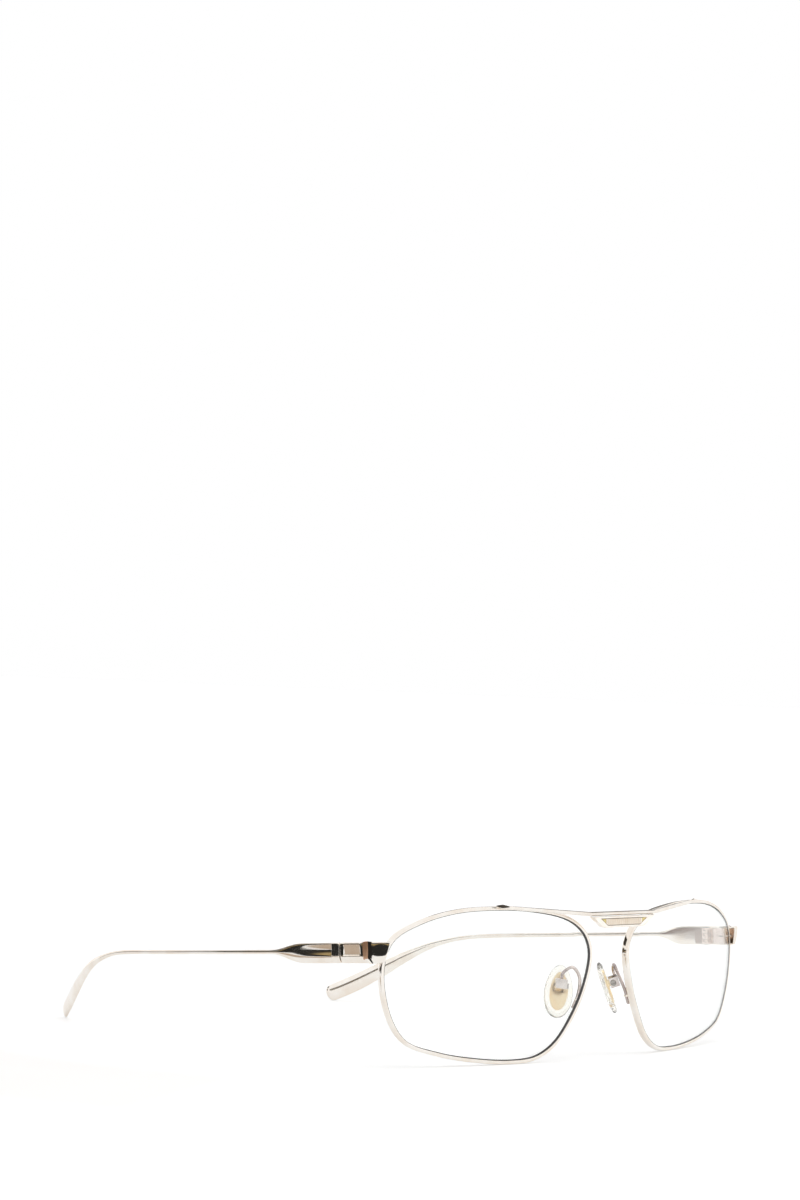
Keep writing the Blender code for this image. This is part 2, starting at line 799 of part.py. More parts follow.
def make_leaf(name, sign, along, inset, levels):
    """A hinge leaf against a bar's inner face, its knuckles round the hinge axis.

    sign is -1 for the leaf on the endpiece and +1 for the one on the temple.
    """
    up = temple_frame()[3]
    centre = hinge_centre()
    across = along.cross(up).normalized()
    face = across * (KNUCKLE_RADIUS - inset)
    clear = KNUCKLE_RADIUS + KNUCKLE_GAP
    half = LEAF_HEIGHT / 2
    thick = LEAF_THICKNESS
    far = clear + LEAF_LENGTH
    leaf = prism(
        name, rectangle(-thick, 0.0, sign * clear, sign * far), centre + face, across, along, up,
        -half, half,
    )
    pieces = []
    for low, high in levels:
        arm_low, arm_high = max(low, -half), min(high, half)
        pieces.append(
            prism("barrel", disc(KNUCKLE_RADIUS, 20), centre, across, along, up, low, high)
        )
        pieces.append(
            prism(
                "arm", rectangle(-thick, 0.0, sign * LEAF_RELIEF, sign * (clear + LEAF_BITE)),
                centre + face, across, along, up, arm_low + LEAF_RELIEF, arm_high - LEAF_RELIEF,
            )
        )
    hole = prism(
        "hole", disc(HINGE_SCREW_RADIUS + SCREW_GAP, 12), centre, across, along, up,
        -LEAF_HEIGHT, LEAF_HEIGHT,
    )
    return cut(join(leaf, *pieces), hole)


def make_front_leaf():
    low, middle, high = knuckle_levels()
    return make_leaf("front_hinge_leaf", -1, temple_frame()[1], 0.0, (low, high))


def make_temple_leaf():
    """The temple's leaf lies along the bar, which turns a little more to the back than the joint."""
    up = temple_frame()[3]
    line = temple_line()
    way = line_at(line, FLAT_LENGTH / 2) - line[0]
    way = (way - up * way.dot(up)).normalized()
    return make_leaf("temple_hinge_leaf", 1, way, TEMPLE_LEAF_INSET, (knuckle_levels()[1],))


def make_hinge_screw():
    joint, along, out, up = temple_frame()
    low = knuckle_levels()[0][0]
    high = knuckle_levels()[-1][1]
    return make_screw(
        "hinge_screw", hinge_centre(), out, along, up, HINGE_SCREW_RADIUS, low - SCREW_OVERRUN,
        high + SCREW_GAP, HINGE_HEAD_RADIUS, HINGE_HEAD_HEIGHT,
    )


def lowest(rings):
    return min(corner.z for ring in rings for corner in ring)


def make_temple():
    """The temple, its tip dropped until it stands on the same table as the rim."""
    floor = rest_height()
    drop = 0.0
    for _ in range(6):
        drop += lowest(temple_rings(drop)) - floor
    return loft("temple", temple_rings(drop))


# Nose pad

def pad_frame():
    """The pad box's frame: the way the pad faces, its long way up and the screw's way."""
    turn = math.radians(PAD_FRONTAL)
    lean = math.radians(PAD_SPLAY)
    flat = Vector((-math.sin(math.pi / 2 - turn), math.cos(math.pi / 2 - turn), 0.0))
    face = flat * math.cos(lean) - UP * math.sin(lean)
    upright = (UP - face * face.dot(UP)).normalized()
    lean_in = math.radians(PAD_LEAN)
    long_way = upright * math.cos(lean_in) - face.cross(upright) * math.sin(lean_in)
    return face, long_way, face.cross(long_way).normalized()


def pad_pivot():
    face, long_way, screw_way = pad_frame()
    return Vector(BOX_CENTRE) + face * PIVOT_FORWARD


def make_pad_box():
    """A U-shaped box, open towards the pad, its two ears drilled for the screw."""
    face, long_way, screw_way = pad_frame()
    centre = Vector(BOX_CENTRE)
    half = BOX_WIDTH / 2
    box = prism(
        "pad_box", rectangle(-BOX_BACK, BOX_FRONT, -half, half), centre, face, screw_way,
        long_way, -BOX_HEIGHT / 2, BOX_HEIGHT / 2,
    )
    slot = prism(
        "slot",
        rectangle(-BOX_BACK + BOX_WALL, BOX_FRONT + CUT_OVERRUN, -half + BOX_WALL, half - BOX_WALL),
        centre, face, screw_way, long_way, -BOX_HEIGHT, BOX_HEIGHT,
    )
    hole = prism(
        "hole", disc(PAD_SCREW_RADIUS + SCREW_GAP, 12), pad_pivot(), face, long_way, screw_way,
        -BOX_WIDTH, BOX_WIDTH,
    )
    return cut(box, slot, hole)


def make_pad_screw():
    face, long_way, screw_way = pad_frame()
    half = BOX_WIDTH / 2
    return make_screw(
        "pad_screw", pad_pivot(), face, long_way, -screw_way, PAD_SCREW_RADIUS,
        -half - SCREW_OVERRUN, half + SCREW_GAP, PAD_HEAD_RADIUS, PAD_HEAD_HEIGHT,
    )


def pad_oval(length, width, sides):
    """A slightly egg-shaped oval as (across, along) pairs, fuller at the lower end."""
    found = []
    for i in range(sides):
        t = 2 * math.pi * i / sides
        along = length / 2 * math.cos(t)
        across = width / 2 * math.sin(t) * (1 - PAD_EGG * math.cos(t))
        found.append((across, along))
    return found


def pad_middle():
    """Where the pad's back face has its centre."""
    face, long_way, screw_way = pad_frame()
    return Vector(BOX_CENTRE) + face * (BOX_FRONT + PAD_CLEARANCE) - long_way * PAD_DROP


def make_nose_pad():
    face, long_way, screw_way = pad_frame()
    middle = pad_middle()
    rings = []
    steps = ((0.84, 0.0), (0.95, 0.12), (1.0, 0.38), (0.97, 0.64), (0.86, 0.84), (0.6, 0.97))
    for scale, level in steps:
        rings.append([
            middle + screw_way * a + long_way * b + face * (level * PAD_THICKNESS)
            for a, b in pad_oval(PAD_LENGTH * scale, PAD_WIDTH * scale, 28)
        ])
    pad = loft("nose_pad", rings)
    pocket = prism(
        "pocket",
        pad_oval(INSERT_LENGTH + 2 * POCKET_GAP, INSERT_WIDTH + 2 * POCKET_GAP, 24), middle,
        screw_way, long_way, face, -CUT_OVERRUN, INSERT_THICKNESS + 2 * POCKET_GAP,
    )
    return cut(pad, pocket)


def make_pad_insert():
    """The gilt plate in the pad's back, with the drilled tongue that the box holds."""
    face, long_way, screw_way = pad_frame()
    middle = pad_middle()
    plate = prism(
        "pad_insert", pad_oval(INSERT_LENGTH, INSERT_WIDTH, 24), middle, screw_way, long_way,
        face, POCKET_GAP, POCKET_GAP + INSERT_THICKNESS,
    )
    pivot = pad_pivot()
    reach = (middle - pivot).dot(face) + POCKET_GAP + INSERT_THICKNESS / 2
    half = BOX_WIDTH / 2 - BOX_WALL - 2 * SCREW_GAP
    outline = [(reach, -TONGUE_RADIUS), (reach, TONGUE_RADIUS)]
    for i in range(9):
        t = math.pi / 2 + math.pi * i / 8
        outline.append((TONGUE_RADIUS * math.cos(t), TONGUE_RADIUS * math.sin(t)))
    tongue = prism("tongue", outline, pivot, face, long_way, screw_way, -half, half)
    hole = prism(
        "hole", disc(PAD_SCREW_RADIUS + SCREW_GAP, 12), pivot, face, long_way, screw_way,
        -BOX_WIDTH, BOX_WIDTH,
    )
    return cut(join(plate, tongue), hole)


def make_pad_arm():
    """A bent wire from the back of the rim's nasal side, up and over, down onto the pad box."""
    face, long_way, screw_way = pad_frame()
    radius = ARM_DIAMETER / 2
    knots = []
    for z in (ARM_FOOT_END_Z, (ARM_FOOT_END_Z + ARM_FOOT_TOP_Z) / 2, ARM_FOOT_TOP_Z):
        p, out, back = nearest_on_rim(lambda q, z=z: abs(q.z - z) + (100 if q.x > 30 else 0))
        knots.append(p + back * (RIM_DEPTH / 2 + BRAZED_GAP + radius))
    knots.append(Vector(ARM_RISE))
    knots.append(Vector(ARM_APEX))
    top = Vector(BOX_CENTRE) - face * (BOX_BACK - radius)
    knots.append(top + long_way * (BOX_HEIGHT / 2 + ARM_STEM))
    knots.append(top + long_way * (BOX_HEIGHT / 2 + 1.5 * BRAZED_GAP))
    return tube("pad_arm", resample(catmull(knots, 10, False), 24, bend_weight=1.0), radius, 8)


# Placing

def place(thing, name, material, pivot, parent):
    """Scale a drawn piece to metres, with its origin on its pivot, under its parent."""
    mesh = thing.data
    mesh.transform(Matrix.Scale(MM, 4) @ Matrix.Translation(-pivot))
    mesh.materials.clear()
    mesh.materials.append(material)
    mesh.shade_smooth()
    mesh.set_sharp_from_angle(angle=math.radians(30))
    thing.name = name
    mesh.name = name
    thing.parent = parent
    thing.location = (pivot - parent_point(parent)) * MM


def parent_point(parent):
    return Vector(parent["point"]) if parent is not None else Vector()


def make_empty(name, point, parent):
    made = bpy.data.objects.new(name, None)
    made.empty_display_size = 0.004
    made["point"] = tuple(point)
    bpy.context.scene.collection.objects.link(made)
    made.parent = parent
    made.location = (point - parent_point(parent)) * MM
    return made


def mirrored(thing):
    """A copy on the wearer's right."""
    mesh = thing.data.copy()
    mesh.transform(Matrix.Scale(-1.0, 4, Vector((1.0, 0.0, 0.0))))
    mesh.flip_normals()
    copy = bpy.data.objects.new(thing.name, mesh)
    bpy.context.scene.collection.objects.link(copy)
    return copy


def mirror_point(point):
    return Vector((-point.x, point.y, point.z))


def main():
    clear_scene()
    champagne = make_material("champagne_gold", (0.84, 0.71, 0.60), 1.0, 0.12)
    rose = make_material("rose_steel", (0.78, 0.70, 0.66), 1.0, 0.16)
    gilt = make_material("gilt", (0.86, 0.66, 0.22), 1.0, 0.2)
    steel = make_material("screw_steel", (0.62, 0.60, 0.57), 1.0, 0.25)
    lens = make_material("clear_lens", (0.98, 0.99, 0.99), 0.0, 0.0, 1.0, 1.5)
    silicone = make_material("silicone", (0.95, 0.95, 0.93), 0.0, 0.15, 0.9, 1.41)

    frame = make_empty("spectacles", Vector(), None)
    origin = Vector()
    place(make_brow_bar(), "brow_bar", champagne, origin, frame)
    place(make_bridge_plate(), "bridge_plate", champagne, origin, frame)
    place(make_plate_inlay(), "plate_inlay", gilt, origin, frame)

    fixed = (
        (make_rim(), "rim", champagne),
        (make_lens(), "lens", lens),
        (make_endpiece(), "endpiece", champagne),
        (make_lock_half(True), "rim_lock_upper", rose),
        (make_lock_half(False), "rim_lock_lower", rose),
        (make_lock_screw(), "rim_lock_screw", steel),
        (make_front_leaf(), "front_hinge_leaf", rose),
        (make_hinge_screw(), "hinge_screw", steel),
        (make_pad_arm(), "pad_arm", rose),
        (make_pad_box(), "pad_box", rose),
        (make_pad_screw(), "pad_screw", steel),
    )
    on_temple = (
        (make_temple(), "temple", champagne),
        (make_temple_leaf(), "temple_hinge_leaf", rose),
    )
    on_pad = (
        (make_nose_pad(), "nose_pad", silicone),
        (make_pad_insert(), "pad_insert", gilt),
    )
    hinge, rocker = hinge_centre(), pad_pivot()
    pivots = {
        "left": (
            frame, make_empty("temple_pivot_left", hinge, frame),
            make_empty("pad_pivot_left", rocker, frame),
        ),
        "right": (
            frame, make_empty("temple_pivot_right", mirror_point(hinge), frame),
            make_empty("pad_pivot_right", mirror_point(rocker), frame),
        ),
    }
    for i, group in enumerate((fixed, on_temple, on_pad)):
        for thing, name, material in group:
            twin = mirrored(thing)
            for piece, side in ((thing, "left"), (twin, "right")):
                parent = pivots[side][i]
                place(piece, f"{name}_{side}", material, parent_point(parent), parent)

    # Stand the frame on Z = 0, its bounding box centred on X and Y
    bpy.context.view_layer.update()
    corners = np.array([
        tuple(thing.matrix_world @ vertex.co)
        for thing in bpy.context.scene.objects if thing.type == "MESH"
        for vertex in thing.data.vertices
    ])
    low, high = corners.min(axis=0), corners.max(axis=0)
    frame.location = (-(low[0] + high[0]) / 2, -(low[1] + high[1]) / 2, -low[2])


main()
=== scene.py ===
# %% [markdown]
# Champagne-gold spectacles
#
# A pair of metal spectacles with clear lenses stands on a white table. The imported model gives
# every piece its place and size; this file gives each one its rounded edges, its plating and its
# light. Almost everything is polished metal, so the picture lives from what the metal mirrors.

import json
import math

import bmesh
import bpy
from mathutils import Matrix, Vector

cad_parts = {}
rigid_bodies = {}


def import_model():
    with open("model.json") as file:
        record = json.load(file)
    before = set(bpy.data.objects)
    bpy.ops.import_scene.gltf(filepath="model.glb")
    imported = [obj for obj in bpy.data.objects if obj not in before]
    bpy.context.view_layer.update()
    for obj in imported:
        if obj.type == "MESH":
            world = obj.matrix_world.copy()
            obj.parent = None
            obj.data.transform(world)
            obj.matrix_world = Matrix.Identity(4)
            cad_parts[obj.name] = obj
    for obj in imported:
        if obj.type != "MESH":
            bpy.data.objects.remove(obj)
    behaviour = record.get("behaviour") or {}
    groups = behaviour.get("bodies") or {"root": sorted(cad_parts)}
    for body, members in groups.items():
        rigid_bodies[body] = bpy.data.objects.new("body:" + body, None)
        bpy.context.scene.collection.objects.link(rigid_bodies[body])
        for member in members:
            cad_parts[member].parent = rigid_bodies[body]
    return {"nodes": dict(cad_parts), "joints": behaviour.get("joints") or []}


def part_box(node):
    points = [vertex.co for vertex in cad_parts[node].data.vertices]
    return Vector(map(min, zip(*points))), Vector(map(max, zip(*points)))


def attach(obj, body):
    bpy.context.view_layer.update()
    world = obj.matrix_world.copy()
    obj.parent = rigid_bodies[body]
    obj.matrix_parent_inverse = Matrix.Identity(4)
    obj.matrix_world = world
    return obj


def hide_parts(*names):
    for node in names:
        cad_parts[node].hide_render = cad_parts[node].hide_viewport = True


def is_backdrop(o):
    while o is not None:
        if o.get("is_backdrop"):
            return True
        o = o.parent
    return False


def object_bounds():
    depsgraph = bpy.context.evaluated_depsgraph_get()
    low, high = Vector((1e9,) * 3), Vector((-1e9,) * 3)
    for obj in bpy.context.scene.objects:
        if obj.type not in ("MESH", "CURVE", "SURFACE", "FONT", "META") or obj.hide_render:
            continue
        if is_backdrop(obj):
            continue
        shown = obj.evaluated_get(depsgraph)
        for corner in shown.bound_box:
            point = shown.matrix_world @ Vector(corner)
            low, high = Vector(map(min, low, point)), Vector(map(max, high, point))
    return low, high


for leftover in list(bpy.data.objects):
    bpy.data.objects.remove(leftover, do_unlink=True)

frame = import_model()
cad_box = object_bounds()
MM = 0.001
SIDES = {"left": 1.0, "right": -1.0}
print(len(frame["nodes"]), "nodes, corners in mm:")
for corner in cad_box:
    print([round(v / MM, 1) for v in corner])

# %% [markdown]
# Colour and node helpers
#
# Colours are written as the sRGB hex values that a paint program shows. Cycles counts in linear
# light, so one function turns them. A second one adds a shader node with its settings and links,
# which keeps each material short enough to read as a recipe.

# %% Helpers for materials
def linear(hex_colour):
    """An sRGB hex colour as linear RGBA."""
    parts = [int(hex_colour[i:i + 2], 16) / 255 for i in (1, 3, 5)]
    return (*[c / 12.92 if c <= 0.04045 else ((c + 0.055) / 1.055) ** 2.4 for c in parts], 1.0)


def new_material(name):
    """A material with an empty Principled shader, its node tree and that shader."""
    made = bpy.data.materials.new(name)
    made.use_nodes = True
    return made, made.node_tree, made.node_tree.nodes["Principled BSDF"]


def add_node(tree, kind, links=(), settings=(), **inputs):
    """A node of one kind, its attributes set, its inputs given values, and its links made.

    links is a list of (output of another node, name of this node's input).
    """
    node = tree.nodes.new(kind)
    for name, value in dict(settings).items():
        setattr(node, name, value)
    for name, value in inputs.items():
        node.inputs[name.replace("_", " ")].default_value = value
    for source, name in links:
        tree.links.new(source, node.inputs[name])
    return node


# %% [markdown]
# A polished metal
#
# Almost every piece is nickel silver or steel, polished on a felt wheel and plated. The eye sees
# a mirror with a warm tint, softened by polishing marks and by the faint haze of handling. A real
# mirror finish has no single roughness: it is sharper where the wheel reached and duller where it
# didn't. So a broad cloud drives the roughness, and a fine noise drives a bump. Real polishing
# marks lie a few hundredths of a millimetre apart, too fine to show, so they are drawn a quarter
# of one apart.

# %% A polished metal
HAZE_SIZE_MM = 6.0
HAZY_BELOW = 0.35
CLEAR_ABOVE = 0.62
HAZE_RANGE = (0.3, 0.7)
POLISH_MARK_MM = 0.25
POLISH_MARK_DEPTH_MM = 0.002


def polished_metal(name, hex_colour, hex_tarnish, roughness, haze, bump):
    """A worked metal: tint drifting between two colours, cloudy roughness, fine marks."""
    made, tree, shader = new_material(name)
    place = add_node(tree, "ShaderNodeTexCoord")
    cloud = add_node(
        tree, "ShaderNodeTexNoise", [(place.outputs["Object"], "Vector")],
        Scale=1 / (HAZE_SIZE_MM * MM), Detail=4.0, Roughness=0.55,
    )
    tint = add_node(tree, "ShaderNodeValToRGB", [(cloud.outputs["Fac"], "Fac")])
    tint.color_ramp.elements[0].position = HAZY_BELOW
    tint.color_ramp.elements[0].color = linear(hex_tarnish)
    tint.color_ramp.elements[1].position = CLEAR_ABOVE
    tint.color_ramp.elements[1].color = linear(hex_colour)
    tree.links.new(tint.outputs["Color"], shader.inputs["Base Color"])
    gloss = add_node(
        tree, "ShaderNodeMapRange", [(cloud.outputs["Fac"], "Value")],
        From_Min=HAZE_RANGE[0], From_Max=HAZE_RANGE[1], To_Min=roughness,
        To_Max=roughness + haze,
    )
    tree.links.new(gloss.outputs["Result"], shader.inputs["Roughness"])
    marks = add_node(
        tree, "ShaderNodeTexNoise", [(place.outputs["Object"], "Vector")],
        Scale=1 / (POLISH_MARK_MM * MM), Detail=3.0,
    )
    relief = add_node(
        tree, "ShaderNodeBump", [(marks.outputs["Fac"], "Height")], Strength=bump,
        Distance=POLISH_MARK_DEPTH_MM * MM,
    )
    tree.links.new(relief.outputs["Normal"], shader.inputs["Normal"])
    shader.inputs["Metallic"].default_value = 1.0
    print("metal", name, "with roughness from", roughness, "to", round(roughness + haze, 2))
    return made


# %% [markdown]
# Platings and bare metals
#
# One recipe serves for all of them. What differs is the tint, once clear and once hazy, the least
# roughness, how much the haze adds to it, and how strongly the marks show.
#
# - The champagne plating of rims, bars and temples looks nearly white in full light.
# - The plated steel of rim locks and hinges is rosier and a little duller.
# - The pad arms are bare nickel silver: grey, with a touch of violet.
# - The pad boxes are tumbled in grit, which leaves deeper marks, so they glitter.
# - The bead on the right endpiece is a matt copper colour, a painted reflection: the brown band
#   that its rounded corner mirrors.
# - The inlay's two ends are gilt brass, greenish yellow.
# - The inserts in the pads have only a flash of gilt, and look buff through the silicone.
# - Of the umber lacquer wiped over the inlay's reeds, a matt cream film stays on one flank of
#   each.
# - The screws are turned steel, grey and smooth.
# - The silver solder has oxidised nearly black.

# %% Platings and bare metals
champagne_plating = polished_metal(
    "champagne_gold_plating", "#FAF5EE", "#F2E8DC", roughness=0.06, haze=0.05, bump=0.3
)
rose_plating = polished_metal(
    "rose_plated_steel", "#EBDDD3", "#D8C6BB", roughness=0.1, haze=0.08, bump=0.5
)
bare_nickel_silver = polished_metal(
    "bare_nickel_silver", "#D6CAC5", "#AFA39F", roughness=0.08, haze=0.12, bump=0.8
)
tumbled_nickel = polished_metal(
    "tumbled_nickel_silver", "#F4EEEA", "#C9BFBA", roughness=0.12, haze=0.15, bump=3.0
)
# A copper tint for the right bead: a painted reflection of a brown band.
copper_painted_reflection = polished_metal(
    "copper_tint_painted_reflection", "#D8B194", "#BF9070", roughness=0.4, haze=0.1, bump=0.5
)
gilt_brass = polished_metal(
    "gilt_brass", "#DCCB92", "#CDB97C", roughness=0.14, haze=0.1, bump=0.5
)
pale_gilt = polished_metal(
    "pale_gilt_flash", "#FFF1D2", "#F3D9B0", roughness=0.3, haze=0.1, bump=0.5
)
umber_lacquer = polished_metal(
    "umber_lacquer_in_reeds", "#F6ECDE", "#E4D4BF", roughness=0.45, haze=0.2, bump=1.0
)
turned_steel = polished_metal(
    "turned_screw_steel", "#B9B6B1", "#9C9892", roughness=0.18, haze=0.1, bump=0.8
)
silver_solder = polished_metal(
    "oxidised_silver_solder", "#5B5249", "#2C2722", roughness=0.28, haze=0.2, bump=1.0
)

# %% [markdown]
# The rim's groove
#
# A cutter mills the groove that holds the lens, and the felt wheel never reaches into it. The metal
# there stays matt, dark partly with cutting oil and partly with painted shade, the shade that falls
# down in the groove, so a black line follows the lens all round.

# %% Groove
CUTTER_GRIT_MM = 0.4


def milled_groove():
    """Half metal, half oily grime, with painted shade: dark, gritty, without a clear mirror."""
    made, tree, shader = new_material("milled_groove_shade_and_oxide")
    place = add_node(tree, "ShaderNodeTexCoord")
    grit = add_node(
        tree, "ShaderNodeTexNoise", [(place.outputs["Object"], "Vector")],
        Scale=1 / (CUTTER_GRIT_MM * MM), Detail=3.0,
    )
    # The two dark colours are partly grime and partly painted shade, the shade down in the groove.
    tint = add_node(tree, "ShaderNodeValToRGB", [(grit.outputs["Fac"], "Fac")])
    tint.color_ramp.elements[0].color = linear("#14110F")
    tint.color_ramp.elements[1].color = linear("#3A332C")
    tree.links.new(tint.outputs["Color"], shader.inputs["Base Color"])
    shader.inputs["Metallic"].default_value = 0.6
    shader.inputs["Roughness"].default_value = 0.45
    return made


groove_shade_and_oxide = milled_groove()
print("made", groove_shade_and_oxide.name)

# %% [markdown]
# The lens plastic
#
# The lenses are cast optical plastic: colourless, polished on both faces, index 1.5. The eye sees
# almost nothing of it but the reflections. The shader refracts through a closed solid, and a
# faint broad smear drives its roughness, as on lenses that have been wiped with a thumb.

# %% Lens plastic
SMEAR_SIZE_MM = 18
SMEAR_RANGE = (0.45, 0.75)
SMEAR_ROUGHNESS = 0.015


def lens_plastic():
    """Clear all through, with a sheen that is only just duller where a smear lies."""
    made, tree, shader = new_material("cast_lens_plastic")
    place = add_node(tree, "ShaderNodeTexCoord")
    smear = add_node(
        tree, "ShaderNodeTexNoise", [(place.outputs["Object"], "Vector")],
        Scale=1 / (SMEAR_SIZE_MM * MM), Detail=2.0,
    )
    gloss = add_node(
        tree, "ShaderNodeMapRange", [(smear.outputs["Fac"], "Value")],
        From_Min=SMEAR_RANGE[0], From_Max=SMEAR_RANGE[1], To_Min=0.0, To_Max=SMEAR_ROUGHNESS,
    )
    tree.links.new(gloss.outputs["Result"], shader.inputs["Roughness"])
    shader.inputs["Base Color"].default_value = linear("#FDFEFD")
    shader.inputs["Transmission Weight"].default_value = 1.0
    shader.inputs["IOR"].default_value = 1.5
    return made


clear_lens = lens_plastic()
print("made", clear_lens.name)

# %% [markdown]
# The lens's ground edge
#
# A lens is ground to its outline on a wheel, and its edge stays frosted. Its nearly black colour is
# painted shade, the shade that falls in the groove; seen through the lens it is the black line
# inside the rim. A polished edge would mirror the inside of the lens instead and look bright in
# places.

# %% Ground edge
WHEEL_GRIT_MM = 0.3


def painted_shade_edge():
    """Matt, with the grit of the grinding wheel, and painted nearly black with the groove's shade.
    """
    made, tree, shader = new_material("ground_lens_edge_in_painted_shade")
    place = add_node(tree, "ShaderNodeTexCoord")
    grit = add_node(
        tree, "ShaderNodeTexNoise", [(place.outputs["Object"], "Vector")],
        Scale=1 / (WHEEL_GRIT_MM * MM), Detail=2.0,
    )
    # Nearly black: painted shade from the groove, over the grit of the wheel.
    tint = add_node(tree, "ShaderNodeValToRGB", [(grit.outputs["Fac"], "Fac")])
    tint.color_ramp.elements[0].color = linear("#1A1412")
    tint.color_ramp.elements[1].color = linear("#2E2622")
    tree.links.new(tint.outputs["Color"], shader.inputs["Base Color"])
    shader.inputs["Roughness"].default_value = 0.7
    return made


lens_edge_shade = painted_shade_edge()
print("made", lens_edge_shade.name)

# %% [markdown]
# Silicone
#
# The nose pads are moulded silicone: clear, with a faint warm cast, and softer to the eye than
# glass. Its skin keeps a little of the mould's unevenness. So it refracts like the lens, but with
# a low index, some roughness and a cloudy bump that blur what lies behind it.

# %% Silicone
CLOUD_SIZE_MM = 2.5
SKIN_DEPTH_MM = 0.02


def moulded_silicone():
    """Clear and faintly warm, with a soft, uneven skin."""
    made, tree, shader = new_material("moulded_silicone")
    place = add_node(tree, "ShaderNodeTexCoord")
    cloud = add_node(
        tree, "ShaderNodeTexNoise", [(place.outputs["Object"], "Vector")],
        Scale=1 / (CLOUD_SIZE_MM * MM), Detail=3.0,
    )
    tint = add_node(tree, "ShaderNodeValToRGB", [(cloud.outputs["Fac"], "Fac")])
    tint.color_ramp.elements[0].color = linear("#FFFBEE")
    tint.color_ramp.elements[1].color = linear("#FFFFFF")
    tree.links.new(tint.outputs["Color"], shader.inputs["Base Color"])
    relief = add_node(
        tree, "ShaderNodeBump", [(cloud.outputs["Fac"], "Height")], Strength=0.3,
        Distance=SKIN_DEPTH_MM * MM,
    )
    tree.links.new(relief.outputs["Normal"], shader.inputs["Normal"])
    shader.inputs["Roughness"].default_value = 0.18
    shader.inputs["Transmission Weight"].default_value = 0.97
    shader.inputs["IOR"].default_value = 1.41
    return made


silicone = moulded_silicone()
print("made", silicone.name)

# %% [markdown]
# From plain solids to finished metal
#
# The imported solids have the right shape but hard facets. A copy of one is merged into a closed
# mesh, its triangles are paired back into the quads they came from, and a subdivision surface
# rounds it. The narrow flats along each bar's edges act as support loops, so the faces stay flat
# and only the edges turn soft, as they do under a polishing wheel.

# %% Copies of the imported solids
WELD_MM = 0.002
PAIR_BEND_DEG = 40
PAIR_SKEW_DEG = 120


def merged_copy(node):
    """A closed bmesh of one CAD node."""
    body = bmesh.new()
    body.from_mesh(frame["nodes"][node].data)
    bmesh.ops.remove_doubles(body, verts=body.verts, dist=WELD_MM * MM)
    return body


def quads(node):
    """The merged copy with its triangles paired back into four-sided faces."""
    body = merged_copy(node)
    bmesh.ops.join_triangles(
        body, faces=body.faces, angle_face_threshold=math.radians(PAIR_BEND_DEG),
        angle_shape_threshold=math.radians(PAIR_SKEW_DEG),
    )
    return body


def whole_faces(node, within_deg):
    """The merged copy with triangles that lie nearly in one plane made one face again."""
    body = merged_copy(node)
    bmesh.ops.dissolve_limit(
        body, angle_limit=math.radians(within_deg), verts=body.verts, edges=body.edges,
        use_dissolve_boundaries=False,
    )
    return body


for node in ("rim_right", "endpiece_right", "temple_right"):
    copy = quads(node)
    print(node, "has", len(frame["nodes"][node].data.polygons), "triangles, or", len(copy.faces),
          "faces once they are paired")
    copy.free()

# %% [markdown]
# Finished pieces
#
# A finished mesh becomes an object that stays at the origin. It is told which body it moves with,
# which materials it carries, and which imported solid it takes the place of. A drawn wire needs no
# more than its quads and a subdivision surface.

# %% Finished pieces
ROUNDING_LEVELS = 2


def finished(body, name, materials, carrier, nodes=()):
    """The bmesh as an object at the origin that rides on a CAD body and may replace CAD nodes."""
    mesh = bpy.data.meshes.new(name)
    body.to_mesh(mesh)
    body.free()
    stored_normals = mesh.attributes.get("custom_normal")
    if stored_normals:
        mesh.attributes.remove(stored_normals)
    for material in materials:
        mesh.materials.append(material)
    mesh.shade_smooth()
    piece = bpy.data.objects.new(name, mesh)
    bpy.context.scene.collection.objects.link(piece)
    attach(piece, carrier)
    if nodes:
        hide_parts(*nodes)
    print("made", name, "with", len(mesh.polygons), "faces")
    return piece


def rounded(piece):
    """Live Catmull-Clark subdivision, the same in the view as in the render."""
    step = piece.modifiers.new("Subdivision", "SUBSURF")
    step.levels = step.render_levels = ROUNDING_LEVELS


def drawn_piece(node, name, material, carrier):
    """A bar or wire: quads again, then a subdivision surface. Square ends keep a small radius."""
    rounded(finished(quads(node), name, [material], carrier, [node]))


# %% [markdown]
# Broken edges
#
# A milled or turned piece keeps flat faces, and its edges are broken with a file. A subdivision
# surface would swell the faces. A narrow bevel with weighted normals keeps them flat and still
# catches a line of light along every edge.

# %% Broken edges
SAME_PLANE_DEG = 1.0
SHARP_EDGE_DEG = 40


def machined_piece(node, name, material, carrier, edge_mm):
    """A milled or turned piece: flat faces made whole, every sharp edge broken."""
    piece = finished(
        whole_faces(node, SAME_PLANE_DEG), name, [material], carrier, [node]
    )
    step = piece.modifiers.new("Broken edges", "BEVEL")
    step.width = edge_mm * MM
    step.segments = 2
    step.limit_method = "ANGLE"
    step.angle_limit = math.radians(SHARP_EDGE_DEG)
    flat = piece.modifiers.new("Flat faces", "WEIGHTED_NORMAL")
    flat.keep_sharp = True


# %% [markdown]
# Rims
#
# A rim is drawn wire with a D section: domed outside, flat inside with the lens groove. The
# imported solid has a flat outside, so one loop is cut down the middle of that face and lifted into
# a crown. The lens surface is a sphere, and how far a point is from its centre tells where across
# the wire the point lies, which finds the outer face, the groove, and the two lips beside it. The
# lips are pressed in a little, as when the fitter closes a rim, so that the groove shows only as
# a thin line.

# %% The lens sphere
LENS_RADIUS_MM = 163.0
LENS_CENTRE_MM = (4.45, 98.646, 21.526)


def lens_centre(sign):
    """The centre of the sphere that the lens of one side is part of."""
    x, y, z = LENS_CENTRE_MM
    return Vector((x * sign, y, z)) * MM


def depth_of(point, centre):
    """How far in front of the lens surface a point lies, in millimetres."""
    return (point - centre).length / MM - LENS_RADIUS_MM


